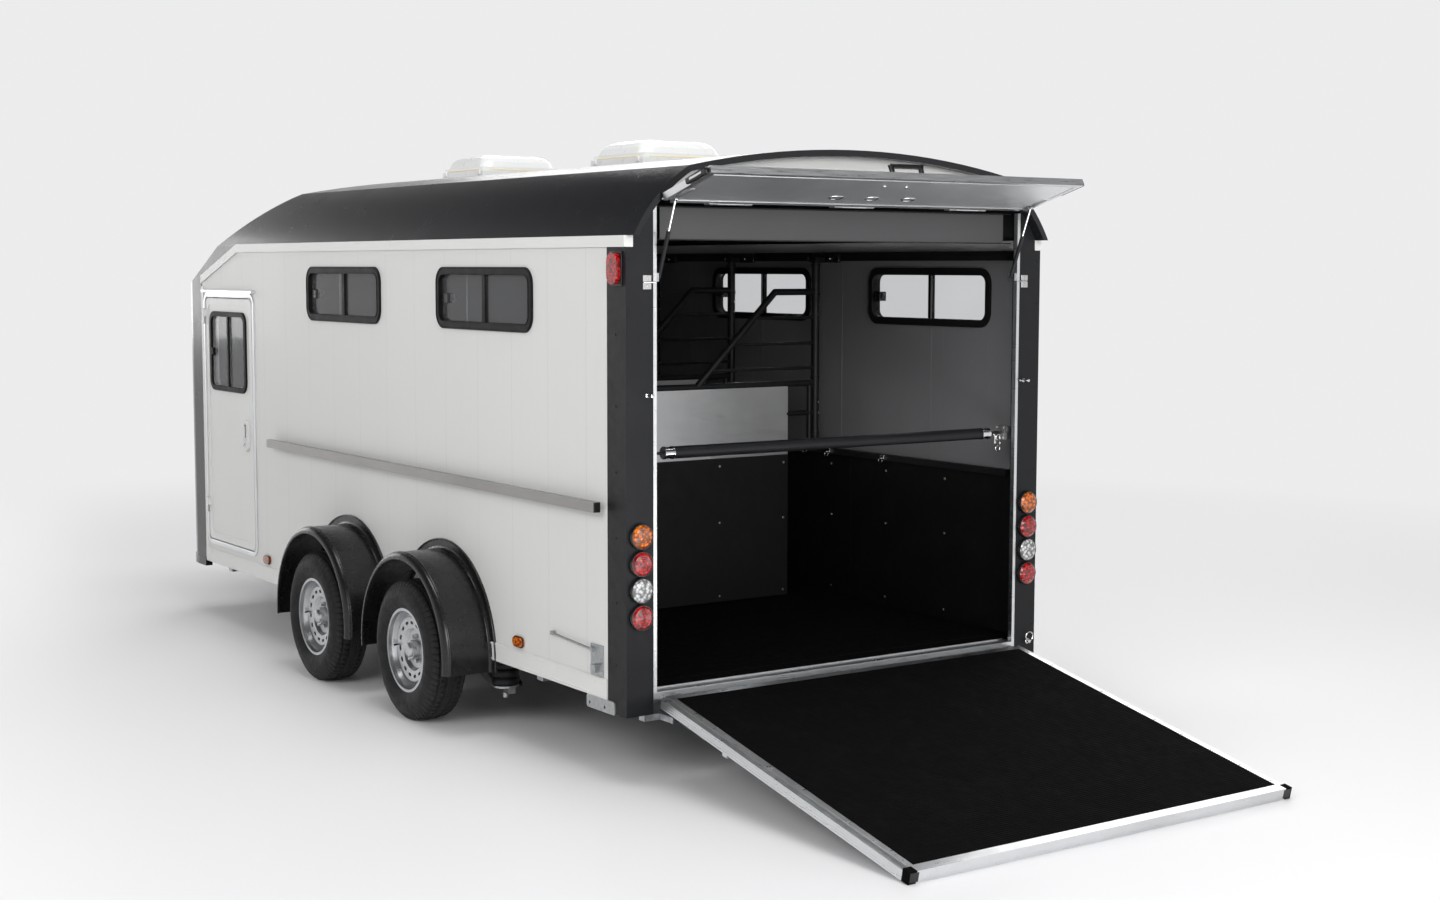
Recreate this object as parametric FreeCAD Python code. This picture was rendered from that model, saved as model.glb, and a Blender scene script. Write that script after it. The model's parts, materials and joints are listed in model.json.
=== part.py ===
"""Twin-axle horse trailer, standing on its wheels and jockey wheel with the
rear ramp down and the top flap raised.

Units are millimetres. While it is drawn, X = 0 is the rear face of the body
and +X runs forward to the coupling, +Y is the left side, +Z is up and z = 0
is the ground. At the end everything is moved along X so that the origin lies
in the middle of the whole length, on the ground.
"""
import FreeCAD, Part
import math
import os

V = FreeCAD.Vector
X_AXIS, Y_AXIS, Z_AXIS = V(1, 0, 0), V(0, 1, 0), V(0, 0, 1)

far = 9000.0                # reaches past the whole trailer, for cutting blocks
pin_play = 0.05             # round a pin or shaft that turns or slides
side_play = 0.3             # between two faces that turn beside each other
overlap = 1.0               # how far fused pieces run into each other

# Body shell
body_half = 1050.0          # centre line to the outer face of a side wall
wall_t = 32.0
wall_inner = body_half - wall_t
side_front_x = 4500.0       # front edge of the side walls
sill_bottom = 317.0
sill_top = 395.0
sill_proud = 6.0
sill_notch_half = 70.0      # the sill is cut away over each stub axle
sill_notch_over = 12.0
deck_bottom = 335.0
deck_t = 25.0
deck_top = deck_bottom + deck_t
mat_t = 6.0
mat_gap = 3.0               # the floor mat's edges to what stands round it
eave_top = 2091.0
eave_depth = 43.0
eave_proud = 8.0
eave_bend_x = 3945.0        # where the eave starts to run down to the front
eave_front_top = 1922.0
edge_trim_w, edge_trim_t = 30.0, 5.0
edge_trim_drop = 60.0
post_depth = 136.0          # rear corner post along X
post_plate = 40.0
post_drop = 47.0
post_bottom = sill_bottom - post_drop
post_w = 135.0
opening_half = body_half - post_w    # half width of the clear rear opening
trim_w = 15.0
trim_depth = 20.0
trim_proud = 2.0
trim_under_flap = 10.0
threshold_top = 355.0
threshold_h = 28.0
threshold_run = 60.0
step_t = 5.0

# Roof moulding
crown_z = 2437.0
crown_over = 8.0            # the roof line drawn from the side stands this far over the crown
shoulder_in, shoulder_mid_in = 250.0, 102.0
shoulder_y, shoulder_z = body_half - shoulder_in, 2355.0
shoulder_mid_y, shoulder_mid_z = body_half - shoulder_mid_in, 2235.0
shoulder_pull_y, shoulder_pull_z = 0.4, 0.92     # how an inner skin follows the shoulder
mid_pull_y, mid_pull_z = 0.78, 0.62
spring_drop = 10.0          # the shoulder springs this far under the eave
roof_side = 2.0
roof_half = body_half + roof_side
roof_lip = 50.0             # how far the roof stands out behind the rear face
roof_t = 25.0
roof_fall_x = 3150.0        # where the roof line starts to fall to the front
roof_fall_r = 1400.0
roof_fall_deg = 25.0
nose_x = 4950.0             # foremost face of the body
nose_top_r = 250.0
nose_corner_r = 350.0
nose_relief = 3.0           # the corner arcs meet the body sides at a slight angle
nose_seam_drop = 10.0
nose_t = 30.0
nose_bottom = 285.0
plinth_h, plinth_proud = 46.0, 5.0
gable_t = 30.0
gable_over = 12.0           # gable's lower edge above the flap's pivot
low_cut = 1500.0            # height under which the roof volume isn't needed

# Ramp, drawn shut and then swung down on to the ground
ramp_pivot_x, ramp_pivot_z = -30.0, 330.0
ramp_lap = 13.0             # beyond each side of the opening
ramp_half = opening_half + ramp_lap
ramp_len = 1515.0           # pivot to the far edge
ramp_in, ramp_out = 22.0, 23.0   # panel faces measured from the pivot plane
ramp_foot = 22.0            # pivot to the near edge of the panel
ramp_side_w = 48.0
ramp_end_w = 40.0
ramp_near_w = 30.0
ramp_mat_t = 4.0
ramp_skin_in = 4.0
ramp_cap = 34.0
ramp_step_w, ramp_step_h = 22.0, 8.0
ramp_hinge_in = 68.0
ramp_hinge_y = (ramp_hinge_in - ramp_half, 0.0, ramp_half - ramp_hinge_in)
ramp_tab_half, ramp_tab_t = 30.0, 8.0
ramp_knuckle_r = 9.0
ramp_lug_w = 15.7
ramp_ear_half, ramp_ear_t, ramp_ear_drop = 14.0, 8.0, 34.0
ramp_ear_gap = 2.0
ramp_keeper_u = (880.0, 1180.0)
ramp_keeper = (26.0, 8.0, 20.0)

# Flap, drawn shut and then swung up
flap_pivot_x, flap_pivot_z = -30.0, 2215.0
flap_lap = 10.0
flap_half = opening_half + flap_lap
flap_len = 362.0
flap_in, flap_out = 5.0, 23.0
flap_open_deg = 106.0
flap_top_gap = 12.0         # pivot to the near edge of the flap
flap_slot_back, flap_slot_w = 17.0, 27.0
flap_slot_out = flap_half - flap_slot_back      # channel beside the flap in which a gas strut works
flap_slot_in = flap_slot_out - flap_slot_w
flap_slot_len = 165.0
flap_slot_edge = 8.0
flap_ear_u = 36.0           # the flap's outer corners start this far from the pivot
flap_rim = 26.0
flap_skin_out, flap_skin_in = 2.0, 1.0
flap_hinge_in = 325.0
flap_hinge_y = (flap_hinge_in - flap_half, 0.0, flap_half - flap_hinge_in)
flap_tab_half, flap_tab_t = 60.0, 6.0
flap_knuckle_r = 7.0
flap_lug_w, flap_lug_plate, flap_lug_plate_h = 39.7, 3.0, 40.0
grip_half, grip_bar, grip_proud, grip_thick = 80.0, 12.0, 30.0, 10.0
grip_edge = 6.0
grip_leg = 14.0

# Gas struts: foot in X and Z, eye on the shut panel, centre line in Y
flap_foot = (15.0, 1935.0)
flap_eye_u, flap_eye_t = 70.0, 10.0
flap_strut_y = (flap_slot_out + flap_slot_in) / 2
flap_strut_r, flap_shaft_r = 8.0, 4.0
flap_strut_len = 185.0
flap_eye_w = 12.0
ramp_foot_pin = (-75.0, 262.0)
ramp_eye_u, ramp_eye_t = 420.0, -39.0
ramp_strut_in = 48.0
ramp_strut_y = ramp_half - ramp_strut_in
ramp_strut_r, ramp_shaft_r = 11.0, 5.0
ramp_strut_len = 225.0
ramp_eye_w = 14.0
strut_play = 0.5            # beside a strut's foot, between it and its bracket
strut_pin_r = 4.0
strut_eye_wall = 3.0
strut_shaft_in = 60.0       # length of shaft inside its cylinder
strut_bore_start = 6.0
foot_half_x, foot_half_z, foot_t = 14.0, 16.0, 8.0
foot_reach = 25.0

# Wheels
axle_x = (1510.0, 2510.0)
tyre_r = 307.5
tyre_w = 189.0
wheel_out = 125.0
tyre_mid_y = body_half + wheel_out
bead_share, tread_share, edge_share = 0.74, 0.68, 0.80   # of half the tyre's width
edge_drop, crown_drop, wall_root = 10.0, 2.0, 4.0
groove_y, groove_half, groove_deep, groove_slope = 34.0, 4.0, 8.0, 4.0
rim_r = 195.0
bead_r = 178.0
rim_flange_t = 5.0
rim_skin = 6.0
barrel_in = 16.0            # the rim's barrel stands this far inside the bead seat
barrel_back = 20.0
dish_proud = 30.0           # front of the wheel disc ahead of the tyre's middle
disc_crown_in, disc_crown = 38.0, 14.0
disc_foot_r, disc_foot = 94.0, 8.0
seat_r, seat_back = 82.0, 8.0
cap_r, cap_face = 40.0, 20.0
slot_count, slot_ring_r, slot_long, slot_wide, slot_end_r = 15, 118.0, 24.0, 13.0, 5.5
drum_r, drum_root_r, drum_in = 60.0, 52.0, 55.0
stub_r = 20.0
stub_root_r = 24.0
stub_end = 16.5
guard_r = 430.0
guard_t = 6.0
guard_over = 2.5
guard_out = tyre_mid_y + tyre_w / 2 + guard_over
guard_lip = 30.0
guard_flange = 45.0
guard_tail = 20.0
guard_deg = 96.0
guard_edge, guard_edge_drop = 26.0, 7.0
guard_root, guard_root_rise = 22.0, 12.0

# Axles, trailing arms, bellows and shock absorbers
axle_tube_dx, axle_tube_z, axle_tube_r = 150.0, 230.0, 32.0
axle_pad_half, axle_pad_t, axle_pad_drop = 45.0, 6.0, 20.0
arm_in, arm_w = 235.0, 35.0
arm_y0 = tyre_mid_y - arm_in
arm_y1 = arm_y0 + arm_w
arm_mid_y = (arm_y0 + arm_y1) / 2
arm_nose, arm_nose_half = 40.0, 38.0
arm_waist, arm_seat_dx, arm_end_dx, arm_drop, arm_end_t = 45.0, 300.0, 430.0, 150.0, 30.0
arm_shoulder_dx, arm_shoulder = 60.0, 10.0
stub_root_in, stub_seat_in = 10.0, 65.0
stub_root_y, stub_seat_y = arm_y1 - stub_root_in, tyre_mid_y - stub_seat_in
spring_dx, spring_z, spring_r, spring_waist_r, spring_folds = 375.0, 189.5, 60.0, 52.0, 4
spring_gap = 0.3
spring_cup_r, spring_cup_h = 58.0, 8.0
spring_bolt_r, spring_bolt_len = 13.0, 24.0
damper_in, damper_r, damper_body_r = 62.0, 21.0, 16.0
damper_y = arm_y0 - damper_in
damper_foot_dx, damper_foot_z = 340.0, 176.0
damper_head_dx, damper_head_drop = 235.0, 19.0
damper_head_z = deck_bottom - damper_head_drop
damper_pin_r, damper_eye_r, damper_eye_w, damper_shaft_r = 6.0, 13.0, 28.0, 8.0
damper_neck, damper_cover_from, damper_cover_to = 10.0, 74.0, 158.0
damper_ear_t, damper_ear_half = 5.0, 14.0

# Chassis and drawbar
rail_y = 560.0
rail_w, rail_h = 60.0, 70.0
rail_front_x = 4550.0
cross_x = (700.0, 1960.0, 3150.0, 4200.0)
cross_w, cross_h = 50.0, 50.0
rail_rear_gap = 4.0
rear_member_w = 10.0
bar_rear_x = 3300.0
bar_bend_x = 4450.0
bar_front_x = 5560.0
bar_w, bar_h = 70.0, 80.0
bar_gap = 4.0               # the tubes stand this far outside the chassis rails
bar_apex_y, bar_apex_w = 62.0, 43.4
bar_low = deck_bottom - rail_h - bar_h
bar_rise = 20.0             # the tubes start to rise this far ahead of the nose
bar_top_under = 48.0        # drawbar's front end below the coupling's centre
bar_plate_len, bar_plate_t = 230.0, 6.0
tie_x, tie_w, tie_h, tie_up = 5000.0, 40.0, 50.0, 20.0
coupling_z = 430.0
coupling_x = 6180.0         # centre of the ball socket
ball_r = 25.0
ball_play = 0.5
head_r, head_cut = 46.0, 12.0
neck_len, neck_end, neck_half, neck_low, neck_high = 130.0, 10.0, 36.0, 30.0, 34.0
grip_post = (-70.0, -20.0, 30.0, 66.0)
grip_post_half, grip_half_w = 14.0, 17.0
grip_line = ((-50.0, 52.0), (10.0, 62.0), (120.0, 92.0), (120.0, 110.0), (0.0, 84.0), (-60.0, 74.0))
housing_half, housing_h = 45.0, 84.0
housing_back, housing_front = 220.0, 20.0
shaft_r = 24.0
bellows_folds, bellows_pitch, bellows_r, bellows_waist_r = 6, 30.0, 46.0, 34.0
lever_t, lever_foot, lever_foot_z = 12.0, (-70.0, -40.0), (20.0, 110.0)
lever_line = ((-70.0, 90.0), (-40.0, 90.0), (90.0, 330.0), (66.0, 345.0))
lever_blade_t = 10.0
lever_grip, lever_grip_r = ((70.0, 325.0), (100.0, 380.0)), 13.0

# Jockey wheel
jockey_x, jockey_y = 5700.0, -150.0
jockey_outer_r = 30.0
jockey_inner_r = 24.0
jockey_lift = 170.0
jockey_fork_top = 212.0
jockey_tube_top = 585.0
jockey_head_room = 8.0
jockey_wheel_r = 100.0
jockey_wheel_w = 60.0
jockey_trail = 45.0
jockey_pin_r = 9.95
jockey_bore_r = 10.0
jockey_hub_r, jockey_web_r, jockey_web_in, jockey_hub_out = 26.0, 60.0, 12.0, 5.0
jockey_tread_r, jockey_chamfer = 66.0, 10.0
fork_plate_t, fork_side_gap, fork_blade_t = 10.0, 6.0, 6.0
fork_back, fork_front, fork_foot_half = 28.0, 26.0, 18.0
clamp_h, clamp_wall, clamp_arm_t, clamp_back = 60.0, 8.0, 10.0, 80.0
clamp_half = 20.0
crank_head_r, crank_head_h = 33.0, 28.0
crank_shaft_r, crank_rise, crank_z = 9.0, 60.0, 52.0
crank_arm, crank_arm_r, crank_grip_in, crank_grip_top, crank_grip_r = 110.0, 7.0, 6.0, 120.0, 11.0

# Swinging partitions
gate_x = (1445.0, 2165.0, 2885.0)
gate_axis_in = 83.0
gate_axis_y = gate_axis_in - wall_inner
gate_end_y = 395.0
gate_stile_r = 20.0
gate_pivot_r = 8.0
gate_pivot_in = 30.0
gate_tube_r = 16.0
gate_upright_r, gate_upright_up = 12.8, 12.0
gate_bar_r = 8.0
gate_foot_z, gate_head_z = 1128.0, 2000.0
gate_top_z = 1855.0
gate_bend_in, gate_slope_run = 245.0, 455.0
gate_bend_y = gate_axis_y + gate_bend_in
gate_low_z = 1410.0
gate_slope_end_y = gate_bend_y + gate_slope_run
gate_bar_z = (1731.0, 1606.0, 1485.0)
gate_panel_in, gate_link_in = 170.0, 35.0
gate_panel_y = gate_axis_y + gate_panel_in
gate_panel_bottom = 378.0
gate_panel_t = 20.0
gate_panel_under = 4.0
gate_link_y = gate_axis_y + gate_link_in
gate_link_z = 1265.0
gate_bracket_half, gate_bracket_h = 26.0, 18.0
wing_gap = 36.0             # from a gate's end to the post beside it
wing_post_y = gate_end_y + wing_gap
wing_top = 20.0
bulkhead_x = 3620.0
bulkhead_t = 20.0

# Interior lining
kick_top = 1060.0
kick_t = 10.0
low_rail_h, low_rail_t = 30.0, 25.0
top_rail_z, top_rail_h, top_rail_t = 2005.0, 40.0, 35.0

# Rump bar
rump_x, rump_z = 80.0, 1262.0
rump_r = 24.0
rump_end_in = 80.0
rump_end_y = opening_half - rump_end_in
rump_collar, rump_collar_in = 45.0, 4.0
rump_hook_r = 6.0
rump_eye_gap = 0.4
rump_eye_r, rump_eye_half = 12.0, 7.0
rump_pin_r = 5.0
bracket_in, bracket_out, bracket_half_z = 10.0, 30.0, 28.0
bracket_lug_t, bracket_lug_in = 5.0, 8.0
rump_pivot_y = opening_half - bracket_in - rump_eye_r - rump_eye_gap
bracket_past = 25.0

# Windows: centre X, centre Z, width, height, side of the body
window_rows = (
    (1134.0, 1840.0, 860.0, 265.0, 1),
    (2570.0, 1840.0, 860.0, 265.0, 1),
    (700.0, 1840.0, 860.0, 265.0, -1),
    (2020.0, 1840.0, 860.0, 265.0, -1),
)
window_corner = 70.0
window_frame_w = 30.0
window_sleeve = 24.0        # from the frame's outer edge to the hole in the wall
window_proud = 8.0
window_bar_w, window_bar_t = 26.0, 20.0
pane_t, pane_in = 5.0, 15.0

# Side door
door_x0, door_x1 = 3745.0, 4440.0
door_z0, door_z1 = 450.0, 1805.0
door_gap = 5.0
door_corner = 40.0
door_frame_w = 25.0
door_frame_proud = 6.0
door_flange_w, door_flange_t, door_flange_r = 38.0, 4.0, 20.0
door_hinge_out = 14.0
door_hinge_y = body_half + door_hinge_out
door_hinge_x = door_x1 + 2.0
door_hinge_r = 7.0
door_hinge_in, door_hinge_len = 150.0, 40.0
door_hinge_leaf = 22.0
door_window = (4100.0, 1510.0, 530.0, 430.0)
door_window_corner, door_window_lip, door_window_proud = 60.0, 24.0, 10.0
door_bar_half, door_bar_in = 9.0, 12.0
door_pane_in = 8.0
handle_x0, handle_x1, handle_z0, handle_z1 = 3810.0, 3880.0, 985.0, 1155.0
handle_r, handle_proud = 34.0, 18.0
drip_back, drip_front, drip_w, drip_h = 40.0, 20.0, 22.0, 14.0

# Lamps
lamp_r = 49.0
lamp_in = 61.0
lamp_y = body_half - lamp_in
lamp_depth = 25.0
lamp_crown, lamp_edge, lamp_slope = 8.0, 2.0, 12.0
lamp_rows = ((960.0, "amber"), (856.0, "red"), (754.0, "clear"), (651.0, "red"))
side_lamp = (29.0, 101.0, 1908.0, 2027.0)
side_lamp_r, side_lamp_proud = 34.0, 24.0
marker_x = (834.0, 3582.0)
marker_half, marker_z0, marker_z1, marker_r, marker_proud = 38.0, 412.0, 452.0, 19.0, 16.0

# Tie rail and rear fittings
tie_rail_x0, tie_rail_x1, tie_rail_z0, tie_rail_z1 = 148.0, 3440.0, 1042.0, 1082.0
tie_rail_out, tie_rail_deep, tie_rail_wall = 25.0, 30.0, 3.0
tie_foot_x = (420.0, 1400.0, 2380.0, 3200.0)
tie_foot_half, tie_foot_in = 20.0, 6.0
plate_x0, plate_x1, plate_z0, plate_r = 78.0, 287.0, 265.0, 12.0
plate_hole_x = (151.0, 264.0)
plate_hole_z, plate_hole_r = 285.0, 6.5
plate_foot_x, plate_foot_in, plate_foot_t = 145.0, 28.0, 6.0
catch_x0, catch_x1, catch_z0, catch_z1, catch_t = 165.0, 255.0, 400.0, 520.0, 6.0
catch_hook = (165.0, 200.0, 420.0, 450.0, 40.0)
catch_rod_from, catch_rod_to = (230.0, 500.0), (540.0, 516.0)
catch_rod_r, catch_rod_out, catch_guide = 5.0, 16.0, 8.0

# Roof hatches
hatch_x = (1410.0, 2925.0)
hatch_base = 450.0
hatch_hole = 370.0
hatch_wall = 12.0
hatch_under = 60.0          # base's neck below the crown
hatch_base_top = 2462.0
hatch_lid = 430.0
hatch_lid_top = 2540.0
hatch_lid_wall = 12.0
hatch_skirt = 18.0
hatch_form = ((0.0, 0.0), (0.45, 22.0), (0.80, 62.0), (1.0, 130.0))   # share of the rise, width lost
hatch_corner = 60.0

tiny = 1e-6                 # points nearer than this are one
made = {}


# Small helpers


def box(x0, x1, y0, y1, z0, z1):
    return Part.makeBox(x1 - x0, y1 - y0, z1 - z0, V(x0, y0, z0))


def rod(start, end, radius):
    start, end = V(*start), V(*end)
    along = end.sub(start)
    return Part.makeCylinder(radius, along.Length, start, along)


def fused(parts):
    parts = list(parts)
    whole = parts[0].multiFuse(parts[1:]) if len(parts) > 1 else parts[0]
    return whole.removeSplitter()


def wire(points):
    """A closed wire through points; a point given as (mid, end) is an arc."""
    edges, here = [], points[0]
    for item in points[1:] + [points[0]]:
        if isinstance(item[0], tuple):
            edges.append(Part.Arc(V(*here), V(*item[0]), V(*item[1])).toShape())
            here = item[1]
        elif V(*here).distanceToPoint(V(*item)) > tiny:
            edges.append(Part.LineSegment(V(*here), V(*item)).toShape())
            here = item
    return Part.Wire(edges)


def slab(points, direction):
    """A closed flat outline carried along a straight direction."""
    return Part.Face(wire(points)).extrude(V(*direction))


def side_slab(points, y0, y1):
    """An outline in X and Z made solid from y0 to y1."""
    def lift(p):
        return tuple(lift(q) for q in p) if isinstance(p[0], tuple) else (p[0], y0, p[1])
    return slab([lift(p) for p in points], (0, y1 - y0, 0))


def rounded(x0, x1, z0, z1, r, y0, y1):
    """A rectangle in X and Z with round corners, made solid from y0 to y1."""
    k = r * (1 - math.sqrt(0.5))
    points = [
        (x0 + r, z0), (x1 - r, z0), ((x1 - k, z0 + k), (x1, z0 + r)),
        (x1, z1 - r), ((x1 - k, z1 - k), (x1 - r, z1)),
        (x0 + r, z1), ((x0 + k, z1 - k), (x0, z1 - r)),
        (x0, z0 + r), ((x0 + k, z0 + k), (x0 + r, z0)),
    ]
    return side_slab(points, y0, y1)


def mirrored(shape):
    return shape.mirror(V(0, 0, 0), Y_AXIS)


def both(shape):
    return Part.makeCompound([shape, mirrored(shape)])


def ring(centre, axis, outer, inner, length):
    """A tube that starts at centre and runs along axis."""
    hull = Part.makeCylinder(outer, length, V(*centre), V(*axis))
    return hull.cut(Part.makeCylinder(inner, length, V(*centre), V(*axis)))


# Roof moulding


def fall_centre_z():
    return crown_z + crown_over - roof_fall_r


def nose_arc_centre():
    """Centre of the arc between the falling roof line and the upright nose."""
    a = math.radians(roof_fall_deg)
    sx = roof_fall_x + roof_fall_r * math.sin(a)
    sz = fall_centre_z() + roof_fall_r * math.cos(a)
    reach = math.sin(a) * sx + math.cos(a) * sz - nose_top_r
    cx = nose_x - nose_top_r
    return cx, (reach - math.sin(a) * cx) / math.cos(a)


def roof_volume(inset, low):
    """The solid inside the roof surface moved inwards by inset."""
    e = roof_half - inset
    mid = (shoulder_mid_y - mid_pull_y * inset, shoulder_mid_z - mid_pull_z * inset)
    top = (shoulder_y - shoulder_pull_y * inset, shoulder_z - shoulder_pull_z * inset)
    spring = (e, eave_top - spring_drop)
    rear = -3.0 * roof_lip
    section = [
        (rear, -e, low), (rear, e, low), (rear,) + spring,
        ((rear,) + mid, (rear,) + top),
        ((rear, 0.0, crown_z - inset), (rear, -top[0], top[1])),
        ((rear, -mid[0], mid[1]), (rear, -spring[0], spring[1])),
    ]
    across = slab(section, (nose_x - 2 * rear, 0, 0))
    a = math.radians(roof_fall_deg)
    h = a / 2
    r1, r2 = roof_fall_r - inset, nose_top_r - inset
    cz = fall_centre_z()
    nx, nz = nose_arc_centre()
    g = (a + math.pi / 2) / 2
    line = [
        (rear, low), (nx + r2, low), (nx + r2, nz),
        ((nx + r2 * math.sin(g), nz + r2 * math.cos(g)), (nx + r2 * math.sin(a), nz + r2 * math.cos(a))),
        (roof_fall_x + r1 * math.sin(a), cz + r1 * math.cos(a)),
        ((roof_fall_x + r1 * math.sin(h), cz + r1 * math.cos(h)), (roof_fall_x, cz + r1)),
        (rear, cz + r1),
    ]
    along = side_slab(line, -e - roof_t, e + roof_t)
    return across.common(along).common(plan_outline(inset, low, crown_z + roof_t))


def plan_outline(inset, low, high):
    """The nose seen from above, a little wider than the body, moved inwards by inset."""
    e, r = roof_half + nose_relief - inset, nose_corner_r - inset
    front, cy = nose_x + nose_relief - inset, roof_half + nose_relief - nose_corner_r
    k = r * math.sqrt(0.5)
    cx = nose_x + nose_relief - nose_corner_r
    rear = -3.0 * roof_lip
    points = [
        (rear, -e, low), (cx, -e, low), ((cx + k, -cy - k, low), (front, -cy, low)),
        (front, cy, low), ((cx + k, cy + k, low), (cx, e, low)), (rear, e, low),
    ]
    return slab(points, (0, 0, high - low))


def plan_volume(inset, low, high):
    """The body's outline seen from above, moved inwards by inset."""
    e = roof_half - inset
    return plan_outline(inset, low, high).common(box(-3.0 * roof_lip, nose_x - inset, -e, e, low, high))


def nose_seam_z():
    return nose_arc_centre()[1] - nose_seam_drop


def roof_shell():
    seam = nose_seam_z()
    outer = roof_volume(0.0, seam)
    inner = roof_volume(roof_t, seam - 2 * roof_t)
    under = side_slab([
        (-far, 0.0), (far, 0.0), (far, seam), (side_front_x, seam),
        (side_front_x, eave_front_top), (eave_bend_x, eave_top), (-far, eave_top),
    ], -far, far)
    shell = outer.cut(inner).cut(under).cut(box(-far, -roof_lip, -far, far, 0.0, far))
    half = hatch_hole / 2
    for x in hatch_x:
        shell = shell.cut(box(x - half, x + half, -half, half, shoulder_z, far))
    return shell


def front_nose():
    """The moulded front, closed in plan, with a proud plinth round its foot."""
    seam = nose_seam_z()
    outer = plan_volume(0.0, nose_bottom, seam)
    plinth = plan_outline(-plinth_proud, nose_bottom, nose_bottom + plinth_h)
    hollow = plan_volume(nose_t, nose_bottom, seam)
    front = box(side_front_x, far, -far, far, nose_bottom, seam)
    return fused([outer.common(front), plinth.common(front)]).cut(hollow)


def rear_gable():
    half = opening_half + trim_w
    panel = box(0.0, gable_t, -half, half, flap_pivot_z + gable_over, crown_z + roof_t)
    return panel.common(roof_volume(roof_t, low_cut))


# Walls, rails and posts


def eave_line(drop):
    """Points of the eave line, lowered by drop, from the rear to the front."""
    return [(0.0, eave_top - drop), (eave_bend_x, eave_top - drop), (side_front_x, eave_front_top - drop)]


def wall_blank():
    top = eave_line(eave_depth)
    points = [(post_depth, sill_top), (side_front_x, sill_top), top[2], top[1], (post_depth, top[0][1])]
    return side_slab(points, wall_inner, body_half)


def window_cut(row):
    x, z, w, h, side = row
    edge = window_sleeve
    return rounded(x - w / 2 + edge, x + w / 2 - edge, z - h / 2 + edge, z + h / 2 - edge,
                   window_corner - edge, 0.0, far)


def side_wall(side):
    wall = wall_blank()
    for row in window_rows:
        if row[4] == side:
            wall = wall.cut(window_cut(row))
    if side > 0:
        wall = wall.cut(rounded(door_x0, door_x1, door_z0, door_z1, door_corner, 0.0, far))
    return wall if side > 0 else mirrored(wall)


def eave_rails():
    low, top = eave_line(eave_depth), eave_line(0.0)
    rail = side_slab(low + top[::-1], wall_inner, body_half + eave_proud)
    edge = box(side_front_x - edge_trim_w, side_front_x, body_half, body_half + edge_trim_t,
               sill_top, eave_front_top - edge_trim_drop)
    return both(fused([rail, edge]))


def sills():
    rail = box(post_depth, side_front_x, wall_inner, body_half + sill_proud, sill_bottom, sill_top)
    half = sill_notch_half
    for x in axle_x:
        rail = rail.cut(box(x - half, x + half, 0.0, far, 0.0, tyre_r + stub_root_r + sill_notch_over))
    return both(rail)


def rear_posts():
    low, top = post_bottom, eave_top - eave_depth
    plate = box(0.0, post_plate, opening_half + trim_w, body_half, low, top)
    cheek = box(0.0, post_depth, wall_inner, body_half, low, top)
    head = box(0.0, post_plate, opening_half + trim_w, wall_inner, top, crown_z)
    head = head.common(roof_volume(roof_t, low_cut))
    return both(fused([plate, cheek, head]))


def opening_trim():
    z0, z1 = threshold_top, flap_pivot_z - trim_under_flap
    half = opening_half + trim_w
    side = box(-trim_proud, trim_depth, opening_half, half, z0, z1)
    threshold = box(-trim_proud, threshold_run, -half, half, z0 - threshold_h, z0)
    step = box(threshold_run - step_t, threshold_run, -opening_half, opening_half, z0, deck_top)
    return fused([side, mirrored(side), threshold, step])


def floor_deck():
    """Floor board, with a rubber mat on it cut out round the posts of the fixed partitions."""
    deck = plan_volume(nose_t, deck_bottom, deck_top)
    deck = deck.common(box(threshold_run, nose_x, -wall_inner, wall_inner, deck_bottom, deck_top))
    half = wall_inner - kick_t - mat_gap
    mat = box(post_depth + mat_gap, bulkhead_x - mat_gap, -half, half, deck_top - overlap, deck_top + mat_t)
    for x in gate_x:
        mat = mat.cut(rod((x, wing_post_y, deck_bottom), (x, wing_post_y, far), gate_stile_r + mat_gap))
    return fused([deck, mat])


def kick_panels():
    return both(box(threshold_run, bulkhead_x, wall_inner - kick_t, wall_inner, deck_top, kick_top))


def bulkhead():
    wall = box(bulkhead_x, bulkhead_x + bulkhead_t, -wall_inner, wall_inner, deck_top, crown_z)
    return wall.common(roof_volume(roof_t, deck_bottom))


def inner_rails():
    """Rails along both walls and, on the right one, the brackets and pivots of the gates."""
    low = box(post_depth, bulkhead_x, wall_inner - low_rail_t, wall_inner, kick_top, kick_top + low_rail_h)
    top = box(post_depth, bulkhead_x, wall_inner - top_rail_t, wall_inner,
              top_rail_z, top_rail_z + top_rail_h)
    parts = [low, top, mirrored(low), mirrored(top)]
    half, y = gate_bracket_half, gate_axis_y
    foot, head = gate_foot_z - side_play, gate_head_z + side_play
    for x in gate_x:
        for z0, z1 in ((foot - gate_bracket_h, foot), (head, top_rail_z + gate_bracket_h)):
            parts.append(box(x - half, x + half, -wall_inner, y + gate_stile_r, z0, z1))
        parts.append(box(x - half, x + half, -wall_inner, -wall_inner + low_rail_t,
                         kick_top + low_rail_h, foot - gate_bracket_h))
        parts.append(rod((x, y, foot - overlap), (x, y, gate_foot_z + gate_pivot_in), gate_pivot_r))
        parts.append(rod((x, y, gate_head_z - gate_pivot_in), (x, y, head + overlap), gate_pivot_r))
    return fused(parts)


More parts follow.
